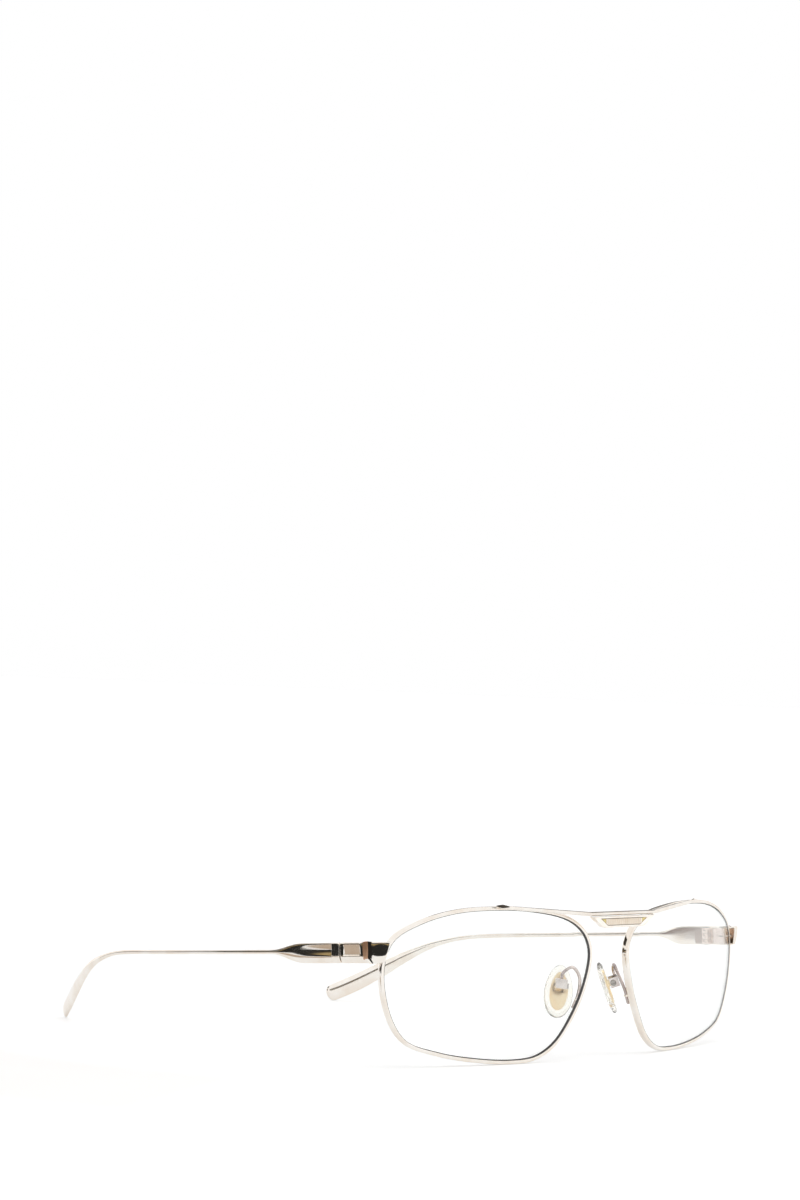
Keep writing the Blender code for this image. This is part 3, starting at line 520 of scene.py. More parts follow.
for side, sign in SIDES.items():
    corners = frame["nodes"][f"rim_{side}"].data.vertices
    depths = [depth_of(corner.co, lens_centre(sign)) for corner in corners]
    print("rim", side, "reaches from", round(min(depths), 2), "to", round(max(depths), 2), "mm")

# %% [markdown]
# Shaping the rims
#
# The points beside the groove are known by their depths, so the lips are found without drawing
# them again. The crown is lifted first, since the lips don't depend on it.

# %% Rims
RIM_CROWN_MM = 0.05
OUTER_FLAT_MM = 1.3
LONGEST_ACROSS_MM = 1.5
GROOVE_LIP_MM = 0.5
SAME_DEPTH_MM = 0.05
LIP_DEPTHS_MM = (0.5, 0.75, 0.85)
LIP_WITHIN_MM = 0.03
LIP_CLOSED_MM = 0.06


def close_lips(body, centre):
    """Presses the two lips beside the groove in towards the lens, as the fitter does."""
    middle = sum((v.co for v in body.verts), Vector()) / len(body.verts)
    body.normal_update()
    for vertex in body.verts:
        depth = abs(depth_of(vertex.co, centre))
        if min(abs(depth - lip) for lip in LIP_DEPTHS_MM) > LIP_WITHIN_MM:
            continue
        away = (vertex.co - centre).normalized()
        level = (vertex.normal - away * vertex.normal.dot(away)).normalized()
        if level.dot(middle - vertex.co) > 0:
            vertex.co += level * LIP_CLOSED_MM * MM


def crowned_rim(side):
    body = quads(f"rim_{side}")
    centre = lens_centre(SIDES[side])
    across = []
    for edge in body.edges:
        first, second = (depth_of(v.co, centre) for v in edge.verts)
        spans_flat = abs(abs(first - second) - OUTER_FLAT_MM) < SAME_DEPTH_MM
        if spans_flat and edge.calc_length() < LONGEST_ACROSS_MM * MM:
            across.append(edge)
    made = bmesh.ops.subdivide_edges(body, edges=across, cuts=1, use_grid_fill=True)
    for vertex in (g for g in made["geom_inner"] if isinstance(g, bmesh.types.BMVert)):
        vertex.normal_update()
        vertex.co += vertex.normal * RIM_CROWN_MM * MM
    close_lips(body, centre)
    # Faces down in the groove take the dark groove material, with its painted shade.
    for face in body.faces:
        depths = [abs(depth_of(v.co, centre)) for v in face.verts]
        face.material_index = int(max(depths) < GROOVE_LIP_MM + SAME_DEPTH_MM)
    piece = finished(
        body, f"rim_wire_{side}", [champagne_plating, groove_shade_and_oxide], "front",
        [f"rim_{side}"],
    )
    rounded(piece)
    print(piece.name, "crowned over", len(across), "stations")


for side in SIDES:
    crowned_rim(side)

# %% [markdown]
# The bar at the hinge
#
# Endpiece and temple are one flat bar that the hinge divides. Both are marked out from one place,
# the middle of the outer face where the temple starts: along the bar, out from it, and up the
# hinge's axis. A plane set across the bar at a mark cuts its faces, like a line that a maker
# scribes.

# %% The bar at the hinge
END_RING_MM = 0.1
CUT_SNAP_MM = 0.01


def bar_frame(side):
    """At the temple joint: the middle of the bar's outer face, and the ways along, out and up."""
    sign = SIDES[side]
    joint = next(j for j in frame["joints"] if j["name"] == f"temple_{side}_fold")
    up = Vector(joint["axis"]).normalized()
    up *= math.copysign(1.0, up.z)
    level = Vector((up.x, up.y, 0.0)).normalized()
    out = Vector((level.y * sign, -level.x * sign, 0.0))
    along = (up.cross(out) * sign).normalized()
    corners = [v.co for v in frame["nodes"][f"temple_{side}"].data.vertices]
    start = min(corner.dot(along) for corner in corners)
    ring = [corner for corner in corners if corner.dot(along) < start + END_RING_MM * MM]
    face = max(corner.dot(out) for corner in ring)
    tops = [corner.dot(up) for corner in ring]
    middle = (min(tops) + max(tops)) / 2
    return out * face + along * start + up * middle, along, out, up


def reach(point, start, way):
    """How far a point lies past start along a way, in millimetres."""
    return (point - start).dot(way) / MM


def cut_across(body, faces, point, way):
    """Cuts the given faces where a plane meets them."""
    edges = {edge for face in faces for edge in face.edges}
    verts = {vertex for face in faces for vertex in face.verts}
    bmesh.ops.bisect_plane(
        body, geom=[*faces, *edges, *verts], plane_co=point, plane_no=way,
        dist=CUT_SNAP_MM * MM,
    )


for side in SIDES:
    print("bar", side, "starts at", [round(v / MM, 2) for v in bar_frame(side)[0]])

# %% [markdown]
# The bead on the endpiece
#
# A raised bead crosses the bar where it bends. On the wearer's right it is painted copper, a
# painted reflection, with painted shade in the groove before it; on the left the photograph shows
# it pale and rosy. Planes cut the bar on both sides of the bead, before the groove, and along the
# bead's foot, and the faces between the cuts take the other materials.

# %% The bead
BEND_MM = -6.55
BEND_TURN_DEG = 16.5
BEAD_HALF_MM = 0.6
BEAD_GROOVE_MM = 0.85
BEAD_FOOT_MM = -1.45
BEAD_DEPTH_MM = 1.2
# On the right: copper as a painted reflection, and the groove with painted shade. The left keeps
# rose plating.
BEAD_FINISH_AND_PAINTED_LIGHT = {"right": (copper_painted_reflection, groove_shade_and_oxide), "left": (rose_plating, rose_plating)}


def bend_of(side):
    """The place on the outer face where the bar bends, and the way through the bend."""
    origin, along, _, up = bar_frame(side)
    turn = Matrix.Rotation(math.radians(-BEND_TURN_DEG / 2) * SIDES[side], 3, up)
    return origin + along * BEND_MM * MM, turn @ along


def cut_bead(body, side):
    """Cuts the bar on both sides of the bead, before the groove, and along the bead's foot."""
    origin, _, _, up = bar_frame(side)
    bend, through = bend_of(side)
    for place in (-BEAD_HALF_MM - BEAD_GROOVE_MM, -BEAD_HALF_MM, BEAD_HALF_MM):
        cut_across(body, body.faces[:], bend + through * place * MM, through)
    around_bead = []
    for face in body.faces:
        past = reach(face.calc_center_median(), bend, through) + BEAD_HALF_MM
        if -BEAD_GROOVE_MM < past < 2 * BEAD_HALF_MM:
            around_bead.append(face)
    cut_across(body, around_bead, origin + up * BEAD_FOOT_MM * MM, up)


def plate_bead(body, side):
    """Bead gets the second material, groove the third; on the right, painted reflection and shade.
    """
    origin, _, out, up = bar_frame(side)
    bend, through = bend_of(side)
    for face in body.faces:
        centre = face.calc_center_median()
        too_deep = reach(bend, centre, out) > BEAD_DEPTH_MM
        if too_deep or reach(centre, origin, up) < BEAD_FOOT_MM:
            continue
        past = reach(centre, bend, through)
        if abs(past) < BEAD_HALF_MM:
            face.material_index = 1
        elif -BEAD_GROOVE_MM < past + BEAD_HALF_MM < 0:
            face.material_index = 2


# %% [markdown]
# The window in the endpiece
#
# Between the temple joint and the bead, a rectangular window is pressed into the bar's face: a
# shallow dish that leans down and so mirrors the buff mat on the table, in a frame that mirrors a
# dark card. Planes cut the face where the window's edges come, an inset makes its frame, and its
# inner points are pressed in, the lower ones more. A second inset and two extra cuts hold the
# floor flat, or the subdivision surface would melt the dish into an oval.

# %% The window
WINDOW_RUN_MM = (-5.2, -1.0)
WINDOW_LEVELS_MM = (-0.6, 1.4, 1.85)
WINDOW_HOLD_RUN_MM = (-4.8, -1.4)
WINDOW_HOLD_LEVEL_MM = -0.25
WINDOW_DEPTHS_MM = (0.47, 0.12, 0.04)
WINDOW_FRAME_MM = 0.14
FLOOR_EDGE_MM = 0.1
STRAIGHT_OUT = 0.99


def outer_rear(body, side):
    """The faces behind the bead that look straight out."""
    out = bar_frame(side)[2]
    bend, through = bend_of(side)
    return [
        face for face in body.faces
        if face.normal.dot(out) > STRAIGHT_OUT
        and reach(face.calc_center_median(), bend, through) > BEAD_HALF_MM
    ]


def cut_window(body, side):
    """Cuts the bar's face along the window's edges, and returns the faces inside them."""
    origin, along, _, up = bar_frame(side)
    for place in (*WINDOW_RUN_MM, *WINDOW_HOLD_RUN_MM):
        cut_across(body, outer_rear(body, side), origin + along * place * MM, along)
    for height in (*WINDOW_LEVELS_MM, WINDOW_HOLD_LEVEL_MM):
        cut_across(body, outer_rear(body, side), origin + up * height * MM, up)
    window = []
    for face in outer_rear(body, side):
        centre = face.calc_center_median()
        in_run = WINDOW_RUN_MM[0] < reach(centre, origin, along) < WINDOW_RUN_MM[1]
        if in_run and WINDOW_LEVELS_MM[0] < reach(centre, origin, up) < WINDOW_LEVELS_MM[2]:
            window.append(face)
    return window


def pressed_depth(height):
    """How deep the window's floor lies at a height, in millimetres: deepest at its lower edge."""
    low, middle, high = WINDOW_LEVELS_MM
    deepest, between, least = WINDOW_DEPTHS_MM
    if height < middle:
        share = (height - low) / (middle - low)
        return deepest + (between - deepest) * share
    share = (height - middle) / (high - middle)
    return between + (least - between) * share


def press_window(body, side, window):
    """Insets the window's frame, presses its floor in, and holds the floor's edge."""
    origin, _, out, up = bar_frame(side)
    bmesh.ops.inset_region(
        body, faces=window, thickness=WINDOW_FRAME_MM * MM, use_even_offset=True,
        use_boundary=True,
    )
    for vertex in {v for face in window for v in face.verts}:
        vertex.co -= out * pressed_depth(reach(vertex.co, origin, up)) * MM
    bmesh.ops.inset_region(
        body, faces=window, thickness=FLOOR_EDGE_MM * MM, use_even_offset=True
    )


# %% [markdown]
# The endpieces
#
# The order of work is that of the bench: first every line is scribed, then the edges of the large
# faces get their narrow support strips, then the window is pressed, and the plating comes last.
# The faces that look straight out get no strips, since the window's own cuts hold them.

# %% The endpieces
FLAT_WITHIN_DEG = 4.0
LARGE_FACE_MM2 = 1.5
EDGE_MM = 0.07


def held_flat(body, faces, edge_mm):
    """Insets large faces a little, so that a subdivision surface rounds only their edges."""
    large = [face for face in faces if face.calc_area() > LARGE_FACE_MM2 * MM * MM]
    bmesh.ops.inset_individual(body, faces=large, thickness=edge_mm * MM, use_even_offset=True)


def pressed_endpiece(side):
    body = whole_faces(f"endpiece_{side}", FLAT_WITHIN_DEG)
    cut_bead(body, side)
    window = cut_window(body, side)
    looking_out = set(outer_rear(body, side))
    held_flat(body, [face for face in body.faces if face not in looking_out], EDGE_MM)
    press_window(body, side, window)
    plate_bead(body, side)
    bead, groove = BEAD_FINISH_AND_PAINTED_LIGHT[side]
    piece = finished(
        body, f"endpiece_bar_{side}", [champagne_plating, bead, groove],
        "front", [f"endpiece_{side}"],
    )
    rounded(piece)


for side in SIDES:
    pressed_endpiece(side)

# %% [markdown]
# Temples
#
# The temple starts as the same bar and tapers to a wire that bends down behind the ear into a
# flat paddle. Its outer face is hollow-ground from 2 mm behind the joint, which draws two long
# streaks out of whatever it mirrors. The face is cut along three levels and the points there are
# pushed in, those of the middle level most. Four cuts close together make the crisp step at the
# hollow's front end.

# %% The hollow
HOLLOW_START_MM = 2.08
HOLLOW_FULL_MM = 5.5
HOLLOW_END_MM = 13.0
HOLLOW_LEVELS_MM = (-0.15, 0.67, 1.5)
HOLLOW_HALF_MM = 1.5
HOLLOW_DEPTH_MM = 0.2


def hollow_depth(back, height):
    """How deep the grinding goes at a place on the outer face, in millimetres."""
    if not HOLLOW_START_MM < back < HOLLOW_END_MM:
        return 0.0
    across = max(1 - ((height - HOLLOW_LEVELS_MM[1]) / HOLLOW_HALF_MM) ** 2, 0.0)
    fall = min((HOLLOW_END_MM - back) / (HOLLOW_END_MM - HOLLOW_FULL_MM), 1.0)
    return HOLLOW_DEPTH_MM * across * fall


for back in (2, 4, 8, 12):
    deepest = hollow_depth(back, HOLLOW_LEVELS_MM[1])
    print("hollow", back, "mm behind the joint:", round(deepest, 3))

# %% [markdown]
# Grinding the temples
#
# Only faces that look straight out are cut, so the back of the bar and its edges keep their
# shape. The front block before the hollow gets two cuts of its own, which hold its corners
# square.

# %% Temples
HOLLOW_CUTS_MM = (2.0, 2.05, 2.1, 2.15)
BLOCK_LEVELS_MM = (-0.7, 2.05)
BAR_END_MM = 11.0
LOOKS_OUT = 0.97
POINTS_OUT = 0.93


def hollow_temple(side):
    body = quads(f"temple_{side}")
    origin, along, out, up = bar_frame(side)

    def outer(first, last):
        return [
            f for f in body.faces
            if f.normal.dot(out) > LOOKS_OUT
            and first < reach(f.calc_center_median(), origin, along) < last
        ]

    for place in HOLLOW_CUTS_MM:
        cut_across(body, outer(0, BAR_END_MM), origin + along * place * MM, along)
    for height in BLOCK_LEVELS_MM:
        cut_across(body, outer(0, HOLLOW_CUTS_MM[0]), origin + up * height * MM, up)
    for height in HOLLOW_LEVELS_MM:
        cut_across(
            body, outer(HOLLOW_CUTS_MM[0], BAR_END_MM), origin + up * height * MM, up
        )
    moved = 0
    body.normal_update()
    for vertex in body.verts:
        if vertex.normal.dot(out) < POINTS_OUT:
            continue
        depth = hollow_depth(reach(vertex.co, origin, along), reach(vertex.co, origin, up))
        vertex.co -= out * depth * MM
        moved += depth > 0
    piece = finished(
        body, f"temple_bar_{side}", [champagne_plating], f"temple_{side}",
        [f"temple_{side}"],
    )
    rounded(piece)
    print(piece.name, "hollow over", moved, "points")


for side in SIDES:
    hollow_temple(side)

# %% [markdown]
# Brow bar and pad arms
#
# These are round wires, bent on formers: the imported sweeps, rounded.

# %% Brow bar and pad arms
drawn_piece("brow_bar", "brow_bar_wire", champagne_plating, "front")
for side in SIDES:
    drawn_piece(
        f"pad_arm_{side}", f"pad_arm_wire_{side}", bare_nickel_silver, "front"
    )

# %% [markdown]
# Lenses
#
# A lens is a meniscus: two concentric spheres with an edge that fits the groove. Refraction shows
# the smallest dent, so a subdivision surface, which draws a surface away from its corners, won't
# do. The faces are divided by an operator and every new point is set exactly on its sphere. Only
# points that touch more than four faces are moved: the others lie on the outline, which stays.
# The edge is ground matt, and painted nearly black with the shade that falls in the groove. Seen
# through the lens it is the black line inside the rim.

# %% Lenses
LENS_THICKNESS_MM = 1.5
ON_FACE_MM = 0.06
NEAR_FACE_MM = 0.4
EDGE_POINT_FACES = 4
POLISHED_WITHIN_MM = 0.01
LENS_CREASE_DEG = 25


def ground_lens(side):
    body = merged_copy(f"lens_{side}")
    centre = lens_centre(SIDES[side])
    half = LENS_THICKNESS_MM / 2

    def on_face(vertex):
        return abs(abs(depth_of(vertex.co, centre)) - half) < ON_FACE_MM

    inner = [
        edge for edge in body.edges
        if all(on_face(v) for v in edge.verts)
        and depth_of(edge.verts[0].co, centre) * depth_of(edge.verts[1].co, centre) > 0
    ]
    points = {vertex for edge in inner for vertex in edge.verts}
    front = [vertex for vertex in points if depth_of(vertex.co, centre) > 0]
    print("lens", side, "front points", len(front), "of", len(points))
    bmesh.ops.subdivide_edges(body, edges=inner, cuts=3, use_grid_fill=True)
    for vertex in body.verts:
        depth = depth_of(vertex.co, centre)
        inside_outline = len(vertex.link_faces) > EDGE_POINT_FACES
        if inside_outline and abs(abs(depth) - half) < NEAR_FACE_MM:
            away = (vertex.co - centre).normalized()
            vertex.co = centre + away * (LENS_RADIUS_MM + math.copysign(half, depth)) * MM
    # Faces off the two polished faces form the edge and take its painted shade.
    for face in body.faces:
        depths = [depth_of(v.co, centre) for v in face.verts]
        full_depth = min(abs(depth) for depth in depths) > half - POLISHED_WITHIN_MM
        polished = full_depth and min(depths) * max(depths) > 0
        face.material_index = int(not polished)
    piece = finished(
        body, f"lens_clear_{side}", [clear_lens, lens_edge_shade], "front",
        [f"lens_{side}"],
    )
    piece.data.set_sharp_from_angle(angle=math.radians(LENS_CREASE_DEG))
    piece.visible_shadow = False


for side in SIDES:
    ground_lens(side)

# %% [markdown]
# Nose pads
#
# Each pad is a drop of clear silicone moulded over a gilt insert. The eye sees a bright, nearly
# white border and the insert as a warm shape inside. A moulded pad has no edge at all, so the
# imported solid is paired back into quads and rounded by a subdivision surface, the same way as the
# wires.

# %% Nose pads
for side in SIDES:
    drawn_piece(
        f"nose_pad_{side}", f"nose_pad_silicone_{side}", silicone, f"pad_{side}"
    )

# %% [markdown]
# The milled and turned pieces
#
# Hinge leaves, rim locks, screws and pad boxes are cut from solid metal, and the plate is
# stamped. All of them get broken edges, wider on the plate and narrowest on the smallest screws.
# The small parts are tumbled rather than polished one by one, so their sheen is rougher than the
# rims'.

# %% Plate, hinges, locks, boxes and screws
PLATE_EDGE_MM = 0.12
LOCK_EDGE_MM = 0.1
LEAF_EDGE_MM = 0.08
INSERT_EDGE_MM = 0.06
SCREW_EDGE_MM = 0.05
PAD_SCREW_EDGE_MM = 0.04

machined_piece(
    "bridge_plate", "bridge_plate_stamped", champagne_plating, "front",
    PLATE_EDGE_MM,
)
for side in SIDES:
    for node, finish, slot, edge in (
        ("rim_lock_upper", rose_plating, "rose_steel", LOCK_EDGE_MM),
        ("rim_lock_lower", rose_plating, "rose_steel", LOCK_EDGE_MM),
        ("rim_lock_screw", turned_steel, "screw_steel", SCREW_EDGE_MM),
        ("front_hinge_leaf", rose_plating, "rose_steel", LEAF_EDGE_MM),
        ("hinge_screw", turned_steel, "screw_steel", SCREW_EDGE_MM),
        ("pad_box", tumbled_nickel, "rose_steel", LEAF_EDGE_MM),
        ("pad_screw", turned_steel, "screw_steel", PAD_SCREW_EDGE_MM),
    ):
        machined_piece(f"{node}_{side}", f"{node}_cut_{side}", finish, "front", edge)
    machined_piece(
        f"temple_hinge_leaf_{side}", f"temple_hinge_leaf_cut_{side}", rose_plating,
        f"temple_{side}", LEAF_EDGE_MM,
    )
    machined_piece(
        f"pad_insert_{side}", f"pad_insert_cut_{side}", pale_gilt, f"pad_{side}",
        INSERT_EDGE_MM,
    )

# %% [markdown]
# The inlay
#
# A strip of gilt brass lies in the plate's recess, reeded like the rim of a coin. Planes cut the
# strip at every reed, and every second cut is lifted, so that each reed is a low ridge. Its two
# ends stay plain gilt. Umber lacquer is rubbed over the reeds and wiped off again, and the thin
# film that stays on one flank of each makes that flank cream and matt.

# %% Inlay
REED_PITCH_MM = 0.8
REED_HEIGHT_MM = 0.12
PLAIN_END_MM = 1.6
ON_A_CUT = 0.05
REED_CREASE_DEG = 20


def reeded_inlay():
    body = merged_copy("plate_inlay")
    low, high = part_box("plate_inlay")
    start = low.x + PLAIN_END_MM * MM
    count = 2 * int((high.x - low.x - 2 * PLAIN_END_MM * MM) / (REED_PITCH_MM * MM))
    step = (high.x - low.x - 2 * PLAIN_END_MM * MM) / count
    for i in range(count + 1):
        cut_across(body, body.faces[:], Vector((start + step * i, 0, 0)), Vector((1, 0, 0)))
    for vertex in body.verts:
        place = (vertex.co.x - start) / step
        on_ridge = abs(place - round(place)) < ON_A_CUT and round(place) % 2 == 1
        if on_ridge and 0 < place < count and vertex.co.y < (low.y + high.y) / 2:
            vertex.co.y -= REED_HEIGHT_MM * MM
    for face in body.faces:
        place = (face.calc_center_median().x - start) / step
        if 0 < place < count:
            face.material_index = 1 + int(place) % 2
    body.normal_update()
    piece = finished(
        body, "plate_inlay_reeded", [gilt_brass, umber_lacquer, champagne_plating],
        "front", ["plate_inlay"],
    )
    piece.data.set_sharp_from_angle(angle=math.radians(REED_CREASE_DEG))
    print("inlay with", count // 2, "reeds")


reeded_inlay()

# %% [markdown]
# Solder
#
# The wires are brazed together, and where one lies on another the silver solder flows out into a
# flat, pointed drop. The largest are at the ends of the brow bar: the photograph shows the right
# one oxidised nearly black and the left one bright. A drop is an icosphere pulled long, with its
# ends drawn out to points, laid along the wire that it holds.

# %% Solder drops
BAR_DROP_MM = (2.0, 0.44, 0.42)
BAR_DROP_FROM_END_MM = 1.0
BAR_DROP_LIFT_MM = (0.0, -0.28, 0.26)
BAR_DROP_FINISHES = {"right": silver_solder, "left": champagne_plating}
BAR_END_SIZE_MM = 1.3
BAR_REACH_MM = 30
FOOT_DROP_MM = (0.8, 0.5, 0.5)
FOOT_SIZE_MM = 0.9
FOOT_REACH_MM = 2
DRAWN_OUT = 0.45


def middle_of(points):
    return sum(points, Vector()) / len(points)


def wire_end(node, tip, size_mm, reach_mm):
    """The middle of a wire's end nearest to tip, and the way from there along the wire."""
    points = [vertex.co for vertex in frame["nodes"][node].data.vertices]
    last = min(points, key=lambda point: (point - tip).length)
    end = middle_of([p for p in points if (p - last).length < size_mm * MM])
    beyond = middle_of([p for p in points if size_mm * MM < (p - last).length < reach_mm * MM])
    return end, (beyond - end).normalized()


def solder_drop(name, centre, way, sizes_mm, material):
    body = bmesh.new()
    bmesh.ops.create_icosphere(body, subdivisions=3, radius=1.0)
    for vertex in body.verts:
        thin = 1 - DRAWN_OUT * abs(vertex.co.x)
        vertex.co.y *= thin
        vertex.co.z *= thin
    bmesh.ops.scale(body, verts=body.verts, vec=Vector(sizes_mm) * MM)
    bmesh.ops.rotate(body, verts=body.verts, matrix=way.to_track_quat("X", "Z").to_matrix())
    bmesh.ops.translate(body, verts=body.verts, vec=centre)
    finished(body, name, [material], "front")


for side, sign in SIDES.items():
    low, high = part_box("brow_bar")
    tip = Vector((high.x * sign, (low.y + high.y) / 2, high.z))
    end, way = wire_end("brow_bar", tip, BAR_END_SIZE_MM, BAR_REACH_MM)
    centre = end + (way * BAR_DROP_FROM_END_MM + Vector(BAR_DROP_LIFT_MM)) * MM
    solder_drop(f"solder_brow_bar_{side}", centre, way, BAR_DROP_MM, BAR_DROP_FINISHES[side])
    print("brow bar drop", side, [round(v / MM, 2) for v in end])
    rim_points = [vertex.co for vertex in frame["nodes"][f"rim_{side}"].data.vertices]
    arm_points = [vertex.co for vertex in frame["nodes"][f"pad_arm_{side}"].data.vertices]
    foot = min(arm_points, key=lambda point: min((point - other).length for other in rim_points))
    end, way = wire_end(f"pad_arm_{side}", foot, FOOT_SIZE_MM, FOOT_REACH_MM)
    solder_drop(f"solder_pad_arm_{side}", end, way, FOOT_DROP_MM, champagne_plating)
    print("pad arm drop", side, [round(v / MM, 2) for v in end])

# %% [markdown]
# The white table
#
# The photograph is a catalogue shot: a white sweep, soft light from above, and a dark room around
# the table, which only the polished metal gets to see. The table is lacquered white. It glows a
# little for rays that look at it, more in the distance, so that it runs out into white as a sweep
# does. For rays that are mirrored it glows less, so that the undersides of the wires turn grey
# and keep their shape.

# %% The white table
LOOKED_AT = 0.34
MIRRORED = 0.22
FAR_LIFT = 0.3
LIFT_FROM_M = 0.15
LIFT_TO_M = 1.3


def white_table():
    """White lacquer with a glow that depends on the ray that asks for it."""
    made, tree, shader = new_material("white_table_lacquer")
    shader.inputs["Base Color"].default_value = linear("#E6E6E6")
    shader.inputs["Roughness"].default_value = 0.6
    path = add_node(tree, "ShaderNodeLightPath")
    seen = add_node(
        tree, "ShaderNodeMath",
        [(path.outputs["Is Camera Ray"], 0), (path.outputs["Is Transmission Ray"], 1)],
        {"operation": "MAXIMUM"},
    )
    mirrored = add_node(
        tree, "ShaderNodeMath", [(path.outputs["Is Glossy Ray"], 0)], {"operation": "MULTIPLY"}
    )
    mirrored.inputs[1].default_value = MIRRORED / LOOKED_AT
    either = add_node(
        tree, "ShaderNodeMath", [(seen.outputs[0], 0), (mirrored.outputs[0], 1)],
        {"operation": "MAXIMUM"},
    )
    place = add_node(tree, "ShaderNodeTexCoord")
    distance = add_node(
        tree, "ShaderNodeVectorMath", [(place.outputs["Object"], 0)], {"operation": "LENGTH"}
    )
    lift = add_node(
        tree, "ShaderNodeMapRange", [(distance.outputs["Value"], "Value")],
        {"interpolation_type": "SMOOTHSTEP"},
        From_Min=LIFT_FROM_M, From_Max=LIFT_TO_M, To_Min=LOOKED_AT,
        To_Max=LOOKED_AT + FAR_LIFT,
    )
    strength = add_node(
        tree, "ShaderNodeMath", [(either.outputs[0], 0), (lift.outputs["Result"], 1)],
        {"operation": "MULTIPLY"},
    )
    shader.inputs["Emission Color"].default_value = linear("#FFFFFF")
    tree.links.new(strength.outputs[0], shader.inputs["Emission Strength"])
    return made


# %% [markdown]
# Laying the table
#
# The table is one flat sheet, so wide that its edge is never in sight. It is stage, as the
# screens are: it belongs to the photograph and not to the object.

# %% The table
TABLE_HALF_M = 30.0


def make_table():
    body = bmesh.new()
    bmesh.ops.create_grid(body, x_segments=1, y_segments=1, size=TABLE_HALF_M)
    mesh = bpy.data.meshes.new("table")
    body.to_mesh(mesh)
    body.free()
    mesh.materials.append(white_table())
    table = bpy.data.objects.new("table", mesh)
    bpy.context.scene.collection.objects.link(table)
    table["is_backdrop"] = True
    print("made", table.name)


make_table()

# %% [markdown]
# The white surroundings
#
# Behind the table everything is white, for the camera, in mirrors and through the lenses. What
# matt surfaces receive from this white is only half as strong, so that the shadows on the table
# keep some depth.

# %% The white surroundings
LIGHT_THROWN = 0.5


def make_world():
    world = bpy.data.worlds.new("white_studio")
    world.use_nodes = True
    tree = world.node_tree
    tree.nodes.clear()
    path = add_node(tree, "ShaderNodeLightPath")
    seen = add_node(
        tree, "ShaderNodeMath",
        [(path.outputs["Is Camera Ray"], 0), (path.outputs["Is Glossy Ray"], 1)],
        {"operation": "MAXIMUM"},
    )
    seen_through = add_node(
        tree, "ShaderNodeMath",
        [(seen.outputs[0], 0), (path.outputs["Is Transmission Ray"], 1)],
        {"operation": "MAXIMUM"},
    )
    strength = add_node(
        tree, "ShaderNodeMapRange", [(seen_through.outputs[0], "Value")],
        To_Min=LIGHT_THROWN, To_Max=1.0,
    )
    light = add_node(
        tree, "ShaderNodeBackground", [(strength.outputs["Result"], "Strength")],
        Color=linear("#FFFFFF"),
    )
    add_node(tree, "ShaderNodeOutputWorld", [(light.outputs[0], "Surface")])
    bpy.context.scene.world = world
    print("made", world.name)


make_world()

# %% [markdown]
# The dark room
#
# Polished metal shows what stands around it. In the photograph the endpiece shows something dark
# with a pale line in it, close by and no higher than the object, and under that something buff.
# So a striped card floats beside the near temple over a buff mat. A darker card stands behind, for
# the far temple. Farther off are the walls of a dim room: they give the thin dark lines along top
# edges, and the black and white play in the far rim. Each is a screen bent round the object, made
# by spinning a line through part of a turn. None of them is lit: each glows with its own colour,
# which is what the metal mirrors, and the lighter crests of their folds are painted light. Only
# reflections see them, so the picture's white stays clean.

# %% Cloths for the dark room
FOLD_SHADE = 0.4
FOLD_CREST = 0.65


def only_glows(tree, shader, colour):
    """Lets a cloth give off a colour of its own and send back nothing else."""
    shader.inputs["Base Color"].default_value = linear("#000000")
    shader.inputs["Specular IOR Level"].default_value = 0.0
    tree.links.new(colour, shader.inputs["Emission Color"])
    shader.inputs["Emission Strength"].default_value = 1.0


def glowing_banded_screen(name, hex_dark, hex_band, band_mm, half_mm):
    """A dark glowing cloth, with one lighter glowing stripe at a height, soft on both sides."""
    made, tree, shader = new_material(name)
    place = add_node(tree, "ShaderNodeTexCoord")
    axes = add_node(tree, "ShaderNodeSeparateXYZ", [(place.outputs["Object"], "Vector")])
    top_mm = 2 * band_mm
    height = add_node(
        tree, "ShaderNodeMapRange", [(axes.outputs["Z"], "Value")], From_Max=top_mm * MM
    )
    shade = add_node(tree, "ShaderNodeValToRGB", [(height.outputs["Result"], "Fac")])
    stops = shade.color_ramp.elements
    for stop in stops:
        stop.color = linear(hex_dark)
    stops.new((band_mm - half_mm) / top_mm).color = linear(hex_dark)
    stops.new(band_mm / top_mm).color = linear(hex_band)
    stops.new((band_mm + half_mm) / top_mm).color = linear(hex_dark)
    only_glows(tree, shader, shade.outputs["Color"])
    return made


def glowing_folded_screen(name, hex_dark, hex_light, fold_mm):
    """A hanging cloth that glows dimly, with painted light on the crests of its folds."""
    made, tree, shader = new_material(name)
    place = add_node(tree, "ShaderNodeTexCoord")
    folds = add_node(
        tree, "ShaderNodeTexNoise", [(place.outputs["Object"], "Vector")],
        Scale=1 / (fold_mm * MM), Detail=2.0,
    )
    # Painted light: the crests of the folds glow lighter than the hollows.
    shade = add_node(tree, "ShaderNodeValToRGB", [(folds.outputs["Fac"], "Fac")])
    shade.color_ramp.elements[0].position = FOLD_SHADE
    shade.color_ramp.elements[0].color = linear(hex_dark)
    shade.color_ramp.elements[1].position = FOLD_CREST
    shade.color_ramp.elements[1].color = linear(hex_light)
    only_glows(tree, shader, shade.outputs["Color"])
    return made


striped_card = glowing_banded_screen("striped_card_cloth", "#2A2A29", "#B8A274", band_mm=31.7, half_mm=3.1)
buff_felt = glowing_folded_screen("buff_mat_felt", "#B3A292", "#C4B5A6", fold_mm=40)
dark_wall = glowing_folded_screen("dark_wall_cloth", "#33302D", "#4A4641", fold_mm=300)
grey_wall = glowing_folded_screen("grey_wall_cloth", "#574F49", "#6F6760", fold_mm=300)
umber_card = glowing_folded_screen("umber_card_felt", "#6B5A51", "#847268", fold_mm=60)
print("cloths", [m.name for m in (striped_card, buff_felt, dark_wall, grey_wall, umber_card)])

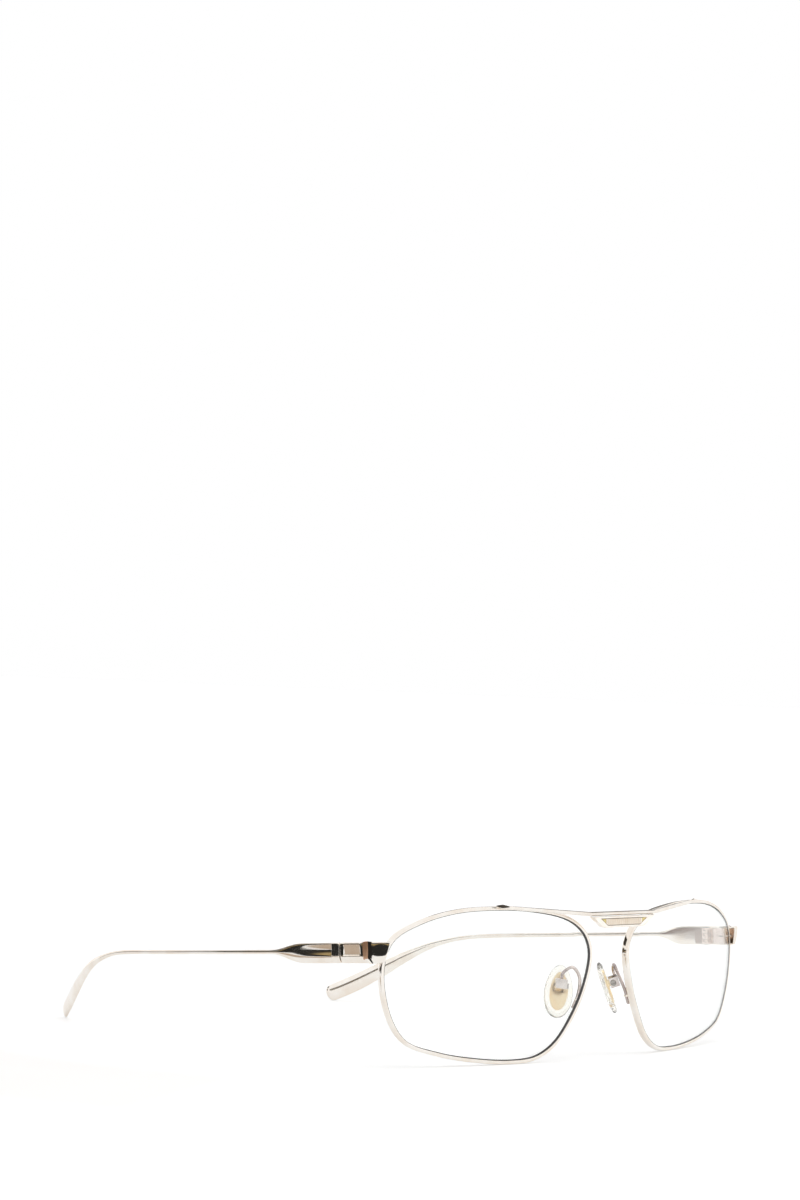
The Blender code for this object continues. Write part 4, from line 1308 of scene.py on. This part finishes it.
# %% [markdown]
# Screens
#
# Each screen is listed with its lower and upper edge, as distance from the middle and height
# above the table, and with the bearings between which it stands. The first two belong to the near
# endpiece and temple, the card behind to the far temple. The walls and flags stand 600 to 900 mm
# off, each where a dark line or patch in the photograph's metal points.

# %% Screens
SCREEN_STEPS = 48


def bent_screen(name, foot_mm, head_mm, turns, cloth):
    """A screen from (radius, height) to (radius, height), bent from one bearing to another.

    Bearings are in degrees from the wearer's left towards the back.
    """
    body = bmesh.new()
    first, last = (math.radians(turn) for turn in turns)
    ends = [body.verts.new((far * MM, 0.0, high * MM)) for far, high in (foot_mm, head_mm)]
    body.edges.new(ends)
    bmesh.ops.rotate(body, verts=body.verts, matrix=Matrix.Rotation(first, 3, "Z"))
    bmesh.ops.spin(
        body, geom=[*body.verts, *body.edges], cent=(0, 0, 0), axis=(0, 0, 1),
        angle=last - first, steps=SCREEN_STEPS, use_duplicate=False,
    )
    mesh = bpy.data.meshes.new(name)
    body.to_mesh(mesh)
    body.free()
    mesh.materials.append(cloth)
    screen = bpy.data.objects.new(name, mesh)
    bpy.context.scene.collection.objects.link(screen)
    for ray in ("camera", "diffuse", "transmission", "volume_scatter", "shadow"):
        setattr(screen, f"visible_{ray}", False)
    screen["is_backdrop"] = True
    print("screen", name, "from", foot_mm, "to", head_mm, "over", turns, "degrees")


bent_screen("card_left", (122, 18), (122, 45), (158, 222), striped_card)
bent_screen("mat_left", (116, 1), (185, 1), (160, 203), buff_felt)
bent_screen("wall_back", (600, 230), (600, 540), (110, 158), dark_wall)
bent_screen("skirting_back", (600, 1), (600, 140), (122, 150), grey_wall)
bent_screen("flag_back_right", (900, 260), (900, 600), (22, 46), dark_wall)
bent_screen("card_back", (285, 1), (285, 60), (112, 136), umber_card)
bent_screen("flag_right", (900, 620), (900, 1150), (-24, 10), dark_wall)

# %% [markdown]
# Lamps
#
# Two soft boxes light the table: a large one overhead, a little towards the viewer, and a smaller
# one from the right of the picture, so that the shadows under the wires stay faint. Mirrors don't
# see them, since the photograph shows no lamp in any polished face, only an even white.

# %% Lamps
def make_lamp(name, place_mm, target_mm, size_mm, power):
    light = bpy.data.lights.new(name, "AREA")
    light.shape = "SQUARE"
    light.size = size_mm * MM
    light.energy = power
    lamp = bpy.data.objects.new(name, light)
    lamp.location = Vector(place_mm) * MM
    way = Vector(target_mm) * MM - lamp.location
    lamp.rotation_mode = "QUATERNION"
    lamp.rotation_quaternion = way.to_track_quat("-Z", "Y")
    lamp.visible_glossy = False
    bpy.context.scene.collection.objects.link(lamp)
    print("lamp", name, "of", power, "W at", place_mm)


make_lamp("soft_top", (-100, -300, 1300), (0, 0, 0), size_mm=1400, power=8)
make_lamp("soft_right", (900, -700, 500), (0, 0, 20), size_mm=700, power=2.5)

# %% [markdown]
# Camera
#
# The camera was fitted to the photograph: it stands low, in front of the wearer's right side, and
# looks almost level past the near lens. A long lens keeps both rims close to their true
# proportions. The standard view transform leaves white as white, as in a catalogue.

# %% Camera
SENSOR_MM = 36.0
CAMERA_MM = (-676.99, -574.67, 87.13)
CAMERA_TURN = (91.39, -2.275, -49.465)
FOCAL_MM = 105.84


def make_camera():
    lens = bpy.data.cameras.new("camera")
    lens.lens = FOCAL_MM
    lens.sensor_width = SENSOR_MM
    lens.clip_start, lens.clip_end = 0.01, 100.0
    camera = bpy.data.objects.new("camera", lens)
    camera.location = Vector(CAMERA_MM) * MM
    camera.rotation_euler = [math.radians(angle) for angle in CAMERA_TURN]
    bpy.context.scene.collection.objects.link(camera)
    bpy.context.scene.camera = camera


make_camera()
bpy.context.scene.view_settings.view_transform = "Standard"
print("camera at", CAMERA_MM, "with a lens of", FOCAL_MM, "mm")

# %% [markdown]
# Sizes
#
# The dressed pieces are meant to differ from the imported solids only by their surface work. The
# two boxes are measured and printed, so that the difference can be read.

# %% Sizes
visual_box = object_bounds()
for label, corners in (("cad", cad_box), ("visual", visual_box)):
    print(label, [tuple(round(v / MM, 2) for v in corner) for corner in corners])
